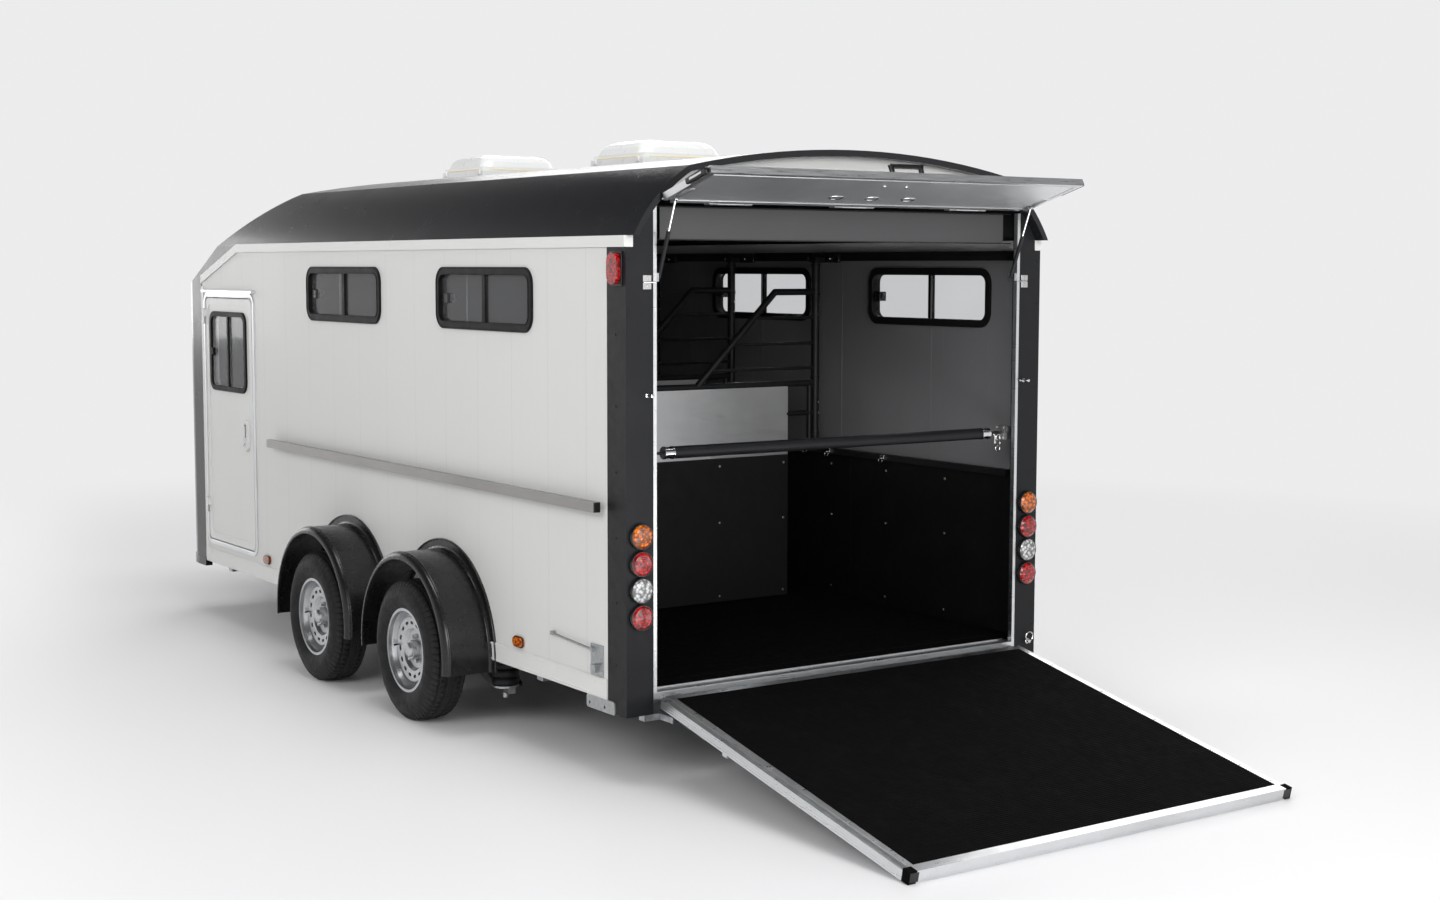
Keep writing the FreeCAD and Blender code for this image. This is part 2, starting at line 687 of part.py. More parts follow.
def bar_brackets():
    """A block on each post; the left one has two lugs with the pin that the rump bar turns on."""
    block = box(post_plate, rump_x + bracket_past, opening_half - bracket_in, opening_half + bracket_out,
                rump_z - bracket_half_z, rump_z + bracket_half_z)
    inner = rump_eye_half + side_play
    outer = inner + bracket_lug_t
    lugs = [box(x, x + bracket_lug_t, rump_pivot_y - bracket_lug_in, opening_half - bracket_in + overlap,
                rump_z - bracket_lug_in, rump_z + bracket_lug_in)
            for x in (rump_x - outer, rump_x + inner)]
    pin = rod((rump_x - outer, rump_pivot_y, rump_z), (rump_x + outer, rump_pivot_y, rump_z), rump_pin_r)
    return Part.makeCompound([mirrored(block), fused([block, pin] + lugs)])


# Swinging partitions


def gate(x):
    """A swinging gate: stile, bent top tube with bars under it, and a panel."""
    y = gate_axis_y
    bend, slope_end = (x, gate_bend_y, gate_top_z), (x, gate_slope_end_y, gate_low_z)
    parts = [
        rod((x, y, gate_foot_z), (x, y, gate_head_z), gate_stile_r),
        rod((x, y, gate_top_z), bend, gate_tube_r),
        Part.makeSphere(gate_tube_r, V(*bend)),
        rod(bend, slope_end, gate_tube_r),
        rod((x, y, gate_low_z), (x, gate_end_y, gate_low_z), gate_tube_r),
        rod((x, gate_link_y, gate_foot_z + gate_upright_up), (x, gate_link_y, gate_low_z), gate_upright_r),
        rod((x, y, gate_link_z), (x, gate_panel_y + gate_panel_t / 2, gate_link_z), gate_upright_r),
        box(x - gate_panel_t / 2, x + gate_panel_t / 2, gate_panel_y, gate_end_y,
            gate_panel_bottom, gate_low_z - gate_panel_under),
    ]
    slope = (gate_slope_end_y - gate_bend_y) / (gate_top_z - gate_low_z)
    for z in gate_bar_z:
        parts.append(rod((x, y, z), (x, gate_bend_y + slope * (gate_top_z - z), z), gate_bar_r))
    whole = fused(parts)
    deep = gate_pivot_in + overlap
    for z0, z1 in ((gate_foot_z, gate_foot_z + deep), (gate_head_z - deep, gate_head_z)):
        whole = whole.cut(rod((x, y, z0), (x, y, z1), gate_pivot_r + pin_play))
    return whole


def gate_wings():
    """Short fixed partitions between the gates' free ends and the left wall."""
    wings = []
    half, y0, top = gate_panel_t / 2, wing_post_y, gate_low_z - gate_panel_under
    for x in gate_x:
        wings.append(fused([
            box(x - half, x + half, y0, wall_inner - kick_t, gate_panel_bottom, kick_top),
            box(x - half, x + half, y0, wall_inner - low_rail_t, kick_top - overlap, top),
            rod((x, y0, deck_top), (x, y0, gate_low_z + wing_top), gate_stile_r),
            rod((x, y0, gate_low_z), (x, wall_inner, gate_low_z), gate_tube_r),
        ]))
    return Part.makeCompound(wings)


def rump_bar():
    """A padded bar with collars, an eye on its left end and a plain hook end on the right."""
    inner = rump_end_y - rump_collar
    parts = [rod((rump_x, -inner, rump_z), (rump_x, inner, rump_z), rump_r)]
    for s, tip in ((-1, opening_half - bracket_in - rump_eye_gap), (1, rump_pivot_y)):
        parts.append(rod((rump_x, s * (inner - overlap), rump_z), (rump_x, s * rump_end_y, rump_z),
                         rump_r - rump_collar_in))
        start = (rump_x, s * (rump_end_y - overlap), rump_z)
        parts.append(rod(start, (rump_x, s * tip, rump_z), rump_hook_r))
    x0, x1, y = rump_x - rump_eye_half, rump_x + rump_eye_half, rump_pivot_y
    parts.append(rod((x0, y, rump_z), (x1, y, rump_z), rump_eye_r))
    bore = rod((x0 - overlap, y, rump_z), (x1 + overlap, y, rump_z), rump_pin_r + pin_play)
    return fused(parts).cut(bore)


# Windows and door


def window_frames():
    frames = []
    for x, z, w, h, side in window_rows:
        def pill(edge, y0, y1):
            return rounded(x - w / 2 + edge, x + w / 2 - edge, z - h / 2 + edge, z + h / 2 - edge,
                           window_corner - edge, y0, y1)
        out, lip = body_half + window_proud, window_frame_w
        one = fused([pill(0.0, body_half, out), pill(0.0, wall_inner - window_proud, wall_inner),
                     pill(window_sleeve, wall_inner, body_half)])
        one = one.cut(pill(lip, 0.0, far))
        half = window_bar_w / 2
        bar = box(x - half, x + half, body_half - window_bar_t, body_half,
                  z - h / 2 + lip - overlap, z + h / 2 - lip + overlap)
        one = fused([one, bar])
        frames.append(one if side > 0 else mirrored(one))
    return Part.makeCompound(frames)


def window_panes():
    panes = []
    for x, z, w, h, side in window_rows:
        lip, half = window_frame_w, window_bar_w / 2
        hole = rounded(x - w / 2 + lip, x + w / 2 - lip, z - h / 2 + lip, z + h / 2 - lip,
                       window_corner - lip, wall_inner, body_half)
        y = body_half - pane_in
        for x0, x1 in ((x - w / 2, x - half), (x + half, x + w / 2)):
            pane = box(x0, x1, y, y + pane_t, z - h / 2, z + h / 2).common(hole)
            panes.append(pane if side > 0 else mirrored(pane))
    return Part.makeCompound(panes)


def door_hinge_z():
    return door_z0 + door_hinge_in, door_z1 - door_hinge_in


def door_frame():
    """The frame round the door, its drip rail and the fixed hinge knuckles."""
    w, face = door_frame_w, body_half + door_frame_proud
    frame = rounded(door_x0 - w, door_x1 + w, door_z0 - w, door_z1 + w, door_corner + w, body_half, face)
    frame = frame.cut(rounded(door_x0, door_x1, door_z0, door_z1, door_corner, 0.0, far))
    parts = [frame, box(door_x0 - drip_back, door_x1 + drip_front, body_half, body_half + drip_w,
                        door_z1 + w, door_z1 + w + drip_h)]
    for z in door_hinge_z():
        top = z + door_hinge_len
        parts.append(rod((door_hinge_x, door_hinge_y, z), (door_hinge_x, door_hinge_y, top), door_hinge_r))
        parts.append(box(door_hinge_x, door_hinge_x + door_hinge_leaf, face - overlap, door_hinge_y, z, top))
    return fused(parts)


def door_leaf():
    """The door with its flange, window surround, oval handle and moving hinge knuckles."""
    g, r = door_gap, door_corner - door_gap
    x0, x1, z0, z1 = door_x0 + g, door_x1 - g, door_z0 + g, door_z1 - g
    w, face = door_flange_w, body_half + door_flange_t
    flange = rounded(x0, x1, z0, z1, r, body_half, face)
    flange = flange.cut(rounded(x0 + w, x1 - w, z0 + w, z1 - w, door_flange_r, 0.0, far))
    leaf = fused([rounded(x0, x1, z0, z1, r, wall_inner, body_half), flange])
    leaf = leaf.cut(door_window_pill(0.0, 0.0, far))
    surround = door_window_pill(0.0, wall_inner - door_flange_t, body_half + door_window_proud)
    surround = surround.cut(door_window_pill(door_window_lip, 0.0, far))
    cx, cz, _, h = door_window
    bar = box(cx - door_bar_half, cx + door_bar_half, body_half - door_bar_in, face,
              cz - h / 2 + door_window_lip - overlap, cz + h / 2 - door_window_lip + overlap)
    handle = rounded(handle_x0, handle_x1, handle_z0, handle_z1, handle_r,
                     body_half, body_half + handle_proud)
    parts = [leaf, surround, bar, handle]
    y0, y1 = door_hinge_y - door_hinge_r + overlap, door_hinge_y - overlap
    for z in door_hinge_z():
        low = z + door_hinge_len + side_play
        top = low + door_hinge_len
        parts.append(rod((door_hinge_x, door_hinge_y, low), (door_hinge_x, door_hinge_y, top), door_hinge_r))
        parts.append(box(x1 - door_hinge_leaf, door_hinge_x, y0, y1, low, top))
        parts.append(box(x1 - door_hinge_leaf, x1 - g, face - overlap, y1, low, top))
    return fused(parts)


def door_window_pill(edge, y0, y1):
    cx, cz, w, h = door_window
    return rounded(cx - w / 2 + edge, cx + w / 2 - edge, cz - h / 2 + edge, cz + h / 2 - edge,
                   door_window_corner - edge, y0, y1)


def door_pane():
    cx, cz, w, h = door_window
    hole = door_window_pill(door_window_lip, wall_inner, far)
    y = body_half - door_pane_in
    panes = []
    for x0, x1 in ((cx - w / 2, cx - door_bar_half), (cx + door_bar_half, cx + w / 2)):
        panes.append(box(x0, x1, y, y + pane_t, cz - h / 2, cz + h / 2).common(hole))
    return Part.makeCompound(panes)


# Ramp and flap


def ramp_down_deg():
    """How far the ramp swings from shut until its edge rests on the ground."""
    reach = math.hypot(ramp_len, ramp_out)
    slope = math.asin(ramp_pivot_z / reach) - math.atan2(ramp_out, ramp_len)
    return 90.0 + math.degrees(slope)


def ramp_lowered(shape):
    shape.rotate(V(ramp_pivot_x, 0, ramp_pivot_z), Y_AXIS, -ramp_down_deg())
    return shape


def ramp_box(u0, u1, y0, y1, t0, t1):
    """A block on the shut ramp: u along it from the pivot, t towards the body."""
    return box(ramp_pivot_x + t0, ramp_pivot_x + t1, y0, y1, ramp_pivot_z + u0, ramp_pivot_z + u1)


def ramp_panel():
    y = ramp_half - ramp_side_w
    return ramp_lowered(ramp_box(ramp_foot + ramp_near_w, ramp_len - ramp_end_w, -y, y,
                                 -ramp_out + ramp_skin_in, ramp_in - ramp_mat_t))


def ramp_mat():
    y = ramp_half - ramp_side_w
    return ramp_lowered(ramp_box(ramp_foot + ramp_near_w, ramp_len - ramp_end_w, -y, y,
                                 ramp_in - ramp_mat_t, ramp_in))


def ramp_frame():
    """Stepped side profiles, end profiles, hinge tabs, strut ears and the keepers of the shut ramp."""
    y1, y0 = ramp_half, ramp_half - ramp_side_w
    end = ramp_len - ramp_cap
    side = ramp_box(ramp_foot, end, y0, y1, -ramp_out, ramp_in - ramp_step_h)
    step = ramp_box(ramp_foot, end, y0, y1 - ramp_step_w, ramp_in - ramp_step_h, ramp_in)
    left = [side, step]
    length, proud, width = ramp_keeper
    for u in ramp_keeper_u:
        left.append(ramp_box(u, u + length, y0 + overlap, y0 + width, -ramp_out - proud, -ramp_out + overlap))
    left.append(ramp_box(ramp_eye_u - ramp_ear_half, ramp_eye_u + ramp_ear_half,
                         ramp_strut_y + ramp_eye_w / 2 + ramp_ear_gap,
                         ramp_strut_y + ramp_eye_w / 2 + ramp_ear_gap + ramp_ear_t,
                         -ramp_out - ramp_ear_drop, -ramp_out + overlap))
    left = fused(left)
    near = ramp_box(ramp_foot, ramp_foot + ramp_near_w, -y0, y0, -ramp_out, ramp_in)
    far_end = ramp_box(ramp_len - ramp_end_w, ramp_len, -y1 + ramp_cap, y1 - ramp_cap, -ramp_out, ramp_in)
    parts = [left, mirrored(left), near, far_end]
    half, t = ramp_tab_half, ramp_tab_t
    for y in ramp_hinge_y:
        parts.append(ramp_box(0.0, ramp_foot + overlap, y - half, y + half, -t, t))
        parts.append(rod((ramp_pivot_x, y - half, ramp_pivot_z), (ramp_pivot_x, y + half, ramp_pivot_z),
                         ramp_knuckle_r))
    return ramp_lowered(fused(parts))


def ramp_caps():
    c = ramp_cap
    cap = ramp_box(ramp_len - c, ramp_len, ramp_half - c, ramp_half, -ramp_out, ramp_in)
    return ramp_lowered(both(cap))


def flap_raised(shape):
    shape.rotate(V(flap_pivot_x, 0, flap_pivot_z), Y_AXIS, flap_open_deg)
    return shape


def flap_box(u0, u1, y0, y1, t0, t1):
    """A block on the shut flap: u down from the pivot, t towards the body."""
    return box(flap_pivot_x + t0, flap_pivot_x + t1, y0, y1, flap_pivot_z - u1, flap_pivot_z - u0)


def flap_panel():
    r, w = flap_rim, flap_slot_edge
    core = flap_box(flap_top_gap + r, flap_len - r, -flap_half + r, flap_half - r,
                    -flap_out + flap_skin_out, flap_in - flap_skin_in)
    slot = flap_box(-far, flap_slot_len + w, flap_slot_in - w, far, -far, far)
    return flap_raised(core.cut(slot).cut(mirrored(slot)))


def flap_frame():
    """The flap's rim with a channel each side for its gas strut, hinge tabs and handle."""
    r, w, top = flap_rim, flap_slot_edge, flap_top_gap
    rim = flap_box(top, flap_len, -flap_half, flap_half, -flap_out, flap_in)
    rim = rim.cut(flap_box(top + r, flap_len - r, -flap_half + r, flap_half - r, -far, far))
    pocket = flap_box(top, flap_slot_len + w, flap_slot_in - w, flap_half, -flap_out, flap_in)
    rim = fused([rim, pocket, mirrored(pocket)])
    slot = flap_box(-far, flap_slot_len, flap_slot_in, flap_slot_out, -far, far)
    corner = flap_box(-far, flap_ear_u, flap_slot_in, far, -far, far)
    for hole in (slot, corner):
        rim = rim.cut(hole).cut(mirrored(hole))
    parts = [rim]
    half, t = flap_tab_half, flap_tab_t
    for y in flap_hinge_y:
        parts.append(rod((flap_pivot_x, y - half, flap_pivot_z), (flap_pivot_x, y + half, flap_pivot_z),
                         flap_knuckle_r))
        parts.append(flap_box(0.0, top + overlap, y - half, y + half, -t, flap_in - overlap))
    u0, u1, out = flap_len - grip_edge - grip_bar, flap_len - grip_edge, -flap_out - grip_proud
    for y in (-grip_half, grip_half - grip_leg):
        parts.append(flap_box(u0, u1, y, y + grip_leg, out, -flap_out + overlap))
    parts.append(flap_box(u0, u1, -grip_half, grip_half, out, out + grip_thick))
    return flap_raised(fused(parts))


def hinge_lugs():
    """Fixed knuckles for the ramp and the flap, beside the moving ones."""
    parts = []
    for s in (-1, 1):
        for y in ramp_hinge_y:
            y0, y1 = sorted((y + s * (ramp_tab_half + side_play), y + s * (ramp_tab_half + ramp_lug_w)))
            r = ramp_knuckle_r
            parts.append(fused([
                rod((ramp_pivot_x, y0, ramp_pivot_z), (ramp_pivot_x, y1, ramp_pivot_z), r),
                box(ramp_pivot_x, -trim_proud, y0, y1, ramp_pivot_z - r, ramp_pivot_z + r),
            ]))
        for y in flap_hinge_y:
            y0, y1 = sorted((y + s * (flap_tab_half + side_play), y + s * (flap_tab_half + flap_lug_w)))
            r, t = flap_knuckle_r, flap_tab_t
            parts.append(fused([
                rod((flap_pivot_x, y0, flap_pivot_z), (flap_pivot_x, y1, flap_pivot_z), r),
                box(flap_pivot_x, 0.0, y0, y1, flap_pivot_z - t, flap_pivot_z + t),
                box(-flap_lug_plate, 0.0, y0, y1, flap_pivot_z - t, flap_pivot_z + flap_lug_plate_h),
            ]))
    return Part.makeCompound(parts)


# Gas struts: the moving eye is found from the shut one by its panel's swing


def swung(point, pivot, degrees):
    """A point in X and Z turned about a pivot, positive from +Z to +X."""
    a = math.radians(degrees)
    dx, dz = point[0] - pivot[0], point[1] - pivot[1]
    return (pivot[0] + dx * math.cos(a) + dz * math.sin(a), pivot[1] - dx * math.sin(a) + dz * math.cos(a))


def flap_eye(shut):
    point = (flap_pivot_x + flap_eye_t, flap_pivot_z - flap_eye_u)
    return point if shut else swung(point, (flap_pivot_x, flap_pivot_z), flap_open_deg)


def ramp_eye(shut):
    point = (ramp_pivot_x + ramp_eye_t, ramp_pivot_z + ramp_eye_u)
    return point if shut else swung(point, (ramp_pivot_x, ramp_pivot_z), -ramp_down_deg())


def strut(foot, eye, y, r_body, r_rod, body_len, width):
    """A gas strut from foot to eye: its cylinder and its rod, in one plane."""
    dx, dz = eye[0] - foot[0], eye[1] - foot[1]
    length = math.hypot(dx, dz)
    ux, uz = dx / length, dz / length

    def at(s):
        return (foot[0] + ux * s, y, foot[1] + uz * s)

    body = rod(at(0.0), at(body_len), r_body)
    body = body.cut(rod(at(r_body + strut_bore_start), at(body_len), r_rod + pin_play))
    knuckle = Part.makeCylinder(r_body - overlap, width, V(foot[0], y - width / 2, foot[1]), Y_AXIS)
    hole = Part.makeCylinder(strut_pin_r + pin_play, 4 * r_body, V(foot[0], y - 2 * r_body, foot[1]), Y_AXIS)
    shaft = rod(at(body_len - strut_shaft_in), at(length), r_rod)
    eyelet = Part.makeCylinder(r_rod + strut_eye_wall, width, V(eye[0], y - width / 2, eye[1]), Y_AXIS)
    return fused([knuckle, body]).cut(hole), fused([shaft, eyelet])


def strut_pins():
    """Brackets and pins that carry the feet of the gas struts."""
    x, z = flap_foot
    y0 = flap_strut_y + flap_strut_r + strut_play
    flap_pin = box(x - foot_half_x, x + foot_reach, y0, opening_half + trim_w,
                   z - foot_half_z, z + foot_half_z)
    flap_pin = flap_pin.cut(box(-far, trim_depth, opening_half, body_half, 0.0, far))
    pin = rod((x, flap_strut_y - flap_eye_w / 2, z), (x, y0 + overlap, z), strut_pin_r)
    flap_pin = fused([flap_pin, pin])
    x, z = ramp_foot_pin
    y0 = ramp_strut_y + ramp_strut_r + strut_play
    ramp_pin = fused([
        box(x - foot_half_x, post_plate, y0, y0 + foot_t, z - foot_half_z, post_bottom - overlap),
        box(0.0, post_plate, y0, opening_half + trim_w + post_plate, z - foot_half_z, post_bottom),
        rod((x, ramp_strut_y - ramp_eye_w / 2, z), (x, y0 + overlap, z), strut_pin_r),
    ])
    return both(flap_pin), both(ramp_pin)


# Running gear


def tyre(x, side):
    """A tyre drawn as half a section, turned about the axle."""
    h, y = tyre_w / 2, tyre_mid_y
    bead, tread, edge = h * bead_share, h * tread_share, h * edge_share
    groove, lip = groove_half, groove_half + groove_slope
    middle = (bead_r + tyre_r) / 2
    floor = tyre_r - groove_deep
    prof = [
        (x, y - bead, bead_r), (x, y - bead, rim_r), (x, y - edge, rim_r + wall_root),
        ((x, y - h, middle), (x, y - edge, tyre_r - edge_drop)), (x, y - tread, tyre_r - crown_drop),
        (x, y - groove_y - lip, tyre_r), (x, y - groove_y - groove, floor),
        (x, y - groove_y + groove, floor), (x, y - groove_y + lip, tyre_r),
        (x, y + groove_y - lip, tyre_r), (x, y + groove_y - groove, floor),
        (x, y + groove_y + groove, floor), (x, y + groove_y + lip, tyre_r),
        (x, y + tread, tyre_r - crown_drop), (x, y + edge, tyre_r - edge_drop),
        ((x, y + h, middle), (x, y + edge, rim_r + wall_root)), (x, y + bead, rim_r), (x, y + bead, bead_r),
    ]
    solid = Part.Face(wire(prof)).revolve(V(x, 0, 0), Y_AXIS, 360.0)
    solid.translate(V(0, 0, tyre_r))
    return solid if side > 0 else mirrored(solid)


def rim(x, side):
    """A pressed wheel: barrel with two flanges, a dished disc with a ring of slots, and the hub behind it."""
    y, t = tyre_mid_y, rim_skin
    bead, seat = tyre_w / 2 * bead_share, tyre_w * 0.3
    face = y + dish_proud
    barrel, crown = bead_r - barrel_in, bead_r - disc_crown_in
    back = [
        (x, y - bead, rim_r), (x, y - bead - rim_flange_t, rim_r), (x, y - bead - rim_flange_t, bead_r - t),
        (x, y - barrel_back, barrel - t), (x, face - 3 * t, barrel - t),
        (x, face + disc_crown - t, crown - t / 3), (x, face + disc_foot - t, disc_foot_r + t / 3),
        (x, face - seat_back - t, seat_r + t / 3), (x, face - seat_back - t, cap_r - t),
        (x, face + cap_face - t, cap_r - t), (x, face + cap_face - t, 0.0),
    ]
    front = [
        (x, face + cap_face, 0.0), (x, face + cap_face, cap_r), (x, face - seat_back, cap_r + t / 3),
        (x, face - seat_back, seat_r), (x, face + disc_foot, disc_foot_r), (x, face + disc_crown, crown),
        (x, face - 2 * t, barrel), (x, y - barrel_back, barrel), (x, y - seat, bead_r), (x, y - bead, bead_r),
    ]
    lip = [
        (x, face - 2 * t, barrel - t), (x, y + seat, bead_r - t), (x, y + bead + rim_flange_t, bead_r - t),
        (x, y + bead + rim_flange_t, rim_r), (x, y + bead, rim_r), (x, y + bead, bead_r),
        (x, y + seat, bead_r), (x, face - 2 * t, barrel + overlap),
    ]
    bore = stub_r + pin_play
    hub = [
        (x, y - drum_in, bore), (x, y - drum_in, drum_root_r), (x, face - 3 * t, drum_r),
        (x, face - seat_back - t + overlap, drum_r), (x, face - seat_back - t + overlap, bore),
    ]
    solid = fused([Part.Face(wire(p)).revolve(V(x, 0, 0), Y_AXIS, 360.0) for p in (back + front, lip, hub)])
    slot = rounded(x - slot_long / 2, x + slot_long / 2, slot_ring_r - slot_wide / 2,
                   slot_ring_r + slot_wide / 2, slot_end_r, face - 2 * t, face + disc_crown + t)
    for i in range(slot_count):
        hole = slot.copy()
        hole.rotate(V(x, 0, 0), Y_AXIS, 360.0 * i / slot_count)
        solid = solid.cut(hole)
    solid.translate(V(0, 0, tyre_r))
    return solid if side > 0 else mirrored(solid)


def axles():
    """Axle tubes with the trailing arms, stub axles, spring cups and damper pins welded on."""
    parts = []
    for x in axle_x:
        ax, az = x + axle_tube_dx, axle_tube_z
        row = [rod((ax, -arm_mid_y, az), (ax, arm_mid_y, az), axle_tube_r)]
        low = tyre_r - arm_drop
        arm = slab([
            (ax + arm_nose, arm_y0, az + arm_nose_half), (ax + arm_nose, arm_y0, az - arm_nose_half),
            (x, arm_y0, tyre_r - arm_waist), (x - arm_seat_dx, arm_y0, low), (x - arm_end_dx, arm_y0, low),
            (x - arm_end_dx, arm_y0, low + arm_end_t), (x - arm_seat_dx, arm_y0, low + arm_end_t),
            (x - arm_shoulder_dx, arm_y0, tyre_r + arm_shoulder),
            (x, arm_y0, tyre_r + stub_root_r),
        ], (0, arm_y1 - arm_y0, 0))
        side = [
            arm,
            rod((x, stub_root_y, tyre_r), (x, stub_seat_y, tyre_r), stub_root_r),
            rod((x, stub_seat_y - overlap, tyre_r), (x, tyre_mid_y + stub_end, tyre_r), stub_r),
            rod((x - spring_dx, arm_mid_y, spring_z - spring_cup_h),
                (x - spring_dx, arm_mid_y, spring_z), spring_cup_r),
            rod((x - spring_dx, arm_mid_y, low - spring_bolt_len), (x - spring_dx, arm_mid_y, low + overlap),
                spring_bolt_r),
            box(ax - axle_pad_half, ax + axle_pad_half, rail_y, rail_y + axle_pad_t,
                az, deck_bottom - axle_pad_drop),
            rod((x - damper_foot_dx, damper_y - damper_eye_w / 2, damper_foot_z),
                (x - damper_foot_dx, arm_mid_y, damper_foot_z), damper_pin_r),
        ]
        row += side + [mirrored(piece) for piece in side]
        parts.append(fused(row))
    return Part.makeCompound(parts)


def dampers():
    """Shock absorbers from the trailing arms up to brackets under the floor."""
    parts = []
    y, w = damper_y, damper_eye_w / 2
    for x in axle_x:
        fx, fz = x - damper_foot_dx, damper_foot_z
        hx, hz = x - damper_head_dx, damper_head_z
        length = math.hypot(hx - fx, hz - fz)
        ux, uz = (hx - fx) / length, (hz - fz) / length
        start, end = damper_cover_from, damper_cover_to - damper_neck
        body = [rod((fx, y, fz), (hx, y, hz), damper_shaft_r)]
        body.append(rod((fx + ux * damper_neck, y, fz + uz * damper_neck),
                        (fx + ux * start, y, fz + uz * start), damper_body_r))
        body.append(rod((fx + ux * start, y, fz + uz * start), (fx + ux * end, y, fz + uz * end), damper_r))
        for px, pz in ((fx, fz), (hx, hz)):
            body.append(rod((px, y - w, pz), (px, y + w, pz), damper_eye_r))
        damper = fused(body)
        for px, pz in ((fx, fz), (hx, hz)):
            damper = damper.cut(rod((px, y - damper_r, pz), (px, y + damper_r, pz), damper_pin_r + pin_play))
        inner, outer = w + side_play, w + side_play + damper_ear_t
        ears = [box(hx - damper_ear_half, hx + damper_ear_half, y + a, y + b, hz - damper_eye_r, deck_bottom)
                for a, b in ((-outer, -inner), (inner, outer))]
        ears.append(rod((hx, y - outer, hz), (hx, y + outer, hz), damper_pin_r))
        parts += [damper, mirrored(damper), fused(ears), mirrored(fused(ears))]
    return Part.makeCompound(parts)


def spring_units():
    """Ribbed bellows between the trailing arms and the floor."""
    parts = []
    z0 = spring_z + spring_gap
    pitch = (deck_bottom - z0) / spring_folds
    prof = [(0.0, 0.0, z0), (spring_waist_r, 0.0, z0)]
    for i in range(spring_folds):
        z = z0 + i * pitch
        prof.append(((spring_r, 0.0, z + pitch / 2), (spring_waist_r, 0.0, z + pitch)))
    prof.append((0.0, 0.0, deck_bottom))
    unit = Part.Face(wire(prof)).revolve(V(0, 0, 0), Z_AXIS, 360.0)
    for x in axle_x:
        body = unit.copy()
        body.translate(V(x - spring_dx, arm_mid_y, 0))
        parts += [body, mirrored(body)]
    return Part.makeCompound(parts)


def mudguards():
    """A turned-over section swept round each wheel, trimmed where the sill passes."""
    guards = []
    y0, y1, r, t = body_half, guard_out, guard_r, guard_t
    inner_y, outer_y = y0 + guard_root, y1 - guard_edge
    for x in axle_x:
        prof = [
            (x, y0, r - guard_tail), (x, y0, r + guard_flange), (x, y0 + t, r + guard_flange),
            (x, y0 + t, r + guard_root_rise), ((x, y0 + 2 * t, r + t / 3), (x, inner_y, r)),
            (x, outer_y, r),
            ((x, y1 - guard_edge_drop - overlap, r - guard_edge_drop), (x, y1, r - guard_lip)),
            (x, y1 - t, r - guard_lip), ((x, y1 - 2 * t - overlap, r - 2 * t), (x, outer_y - t / 3, r - t)),
            (x, y0 + t, r - t), (x, y0 + t, r - guard_tail),
        ]
        face = Part.Face(wire(prof))
        halves = [face.revolve(V(x, 0, 0), Y_AXIS, way * guard_deg) for way in (1, -1)]
        whole = fused(halves)
        whole.translate(V(0, 0, tyre_r))
        whole = whole.cut(box(0.0, side_front_x, 0.0, body_half + sill_proud, sill_bottom, sill_top))
        guards += [whole, mirrored(whole)]
    return Part.makeCompound(guards)


def chassis_frame():
    z0, z1 = deck_bottom - rail_h, deck_bottom
    rear = post_depth + rail_rear_gap
    rail = box(rear, rail_front_x, rail_y - rail_w, rail_y, z0, z1)
    parts = [rail, mirrored(rail)]
    for x in cross_x:
        parts.append(box(x, x + cross_w, -wall_inner, wall_inner, z1 - cross_h, z1))
    parts.append(box(threshold_run, rear + rear_member_w, -wall_inner, wall_inner, post_bottom, z1))
    return fused(parts)


def drawbar():
    """Two box tubes that run together from the chassis rails to the coupling."""
    arms = []
    x0, x1, bend = bar_rear_x, bar_front_x, bar_bend_x
    ya, yb = rail_y + bar_gap, bar_apex_y
    low, high = bar_low, coupling_z - bar_top_under
    for s in (-1, 1):
        plan = [
            (x0, s * ya, low), (x0, s * (ya - bar_w), low), (bend, s * (ya - bar_w), low),
            (x1, s * (yb - bar_apex_w), low), (x1, s * yb, low), (bend, s * ya, low),
        ]
        side = [
            (x0, low), (nose_x + 1.5 * bar_rise, low), (x1, high - bar_h), (x1, high),
            (nose_x + bar_rise / 2, low + bar_h), (x0, low + bar_h),
        ]
        arms.append(slab(plan, (0, 0, far)).common(side_slab(side, -ya, ya)))
    plate = box(x1 - bar_plate_len, x1, -yb, yb, high - overlap, high + bar_plate_t)
    tie = box(tie_x, tie_x + tie_w, -ya, ya, low + tie_up, low + tie_up + tie_h)
    tie = tie.common(slab([
        (x0, -ya, 0.0), (bend, -ya, 0.0), (x1, -yb, 0.0), (x1, yb, 0.0), (bend, ya, 0.0), (x0, ya, 0.0),
    ], (0, 0, far)))
    return fused(arms + [plate, tie])


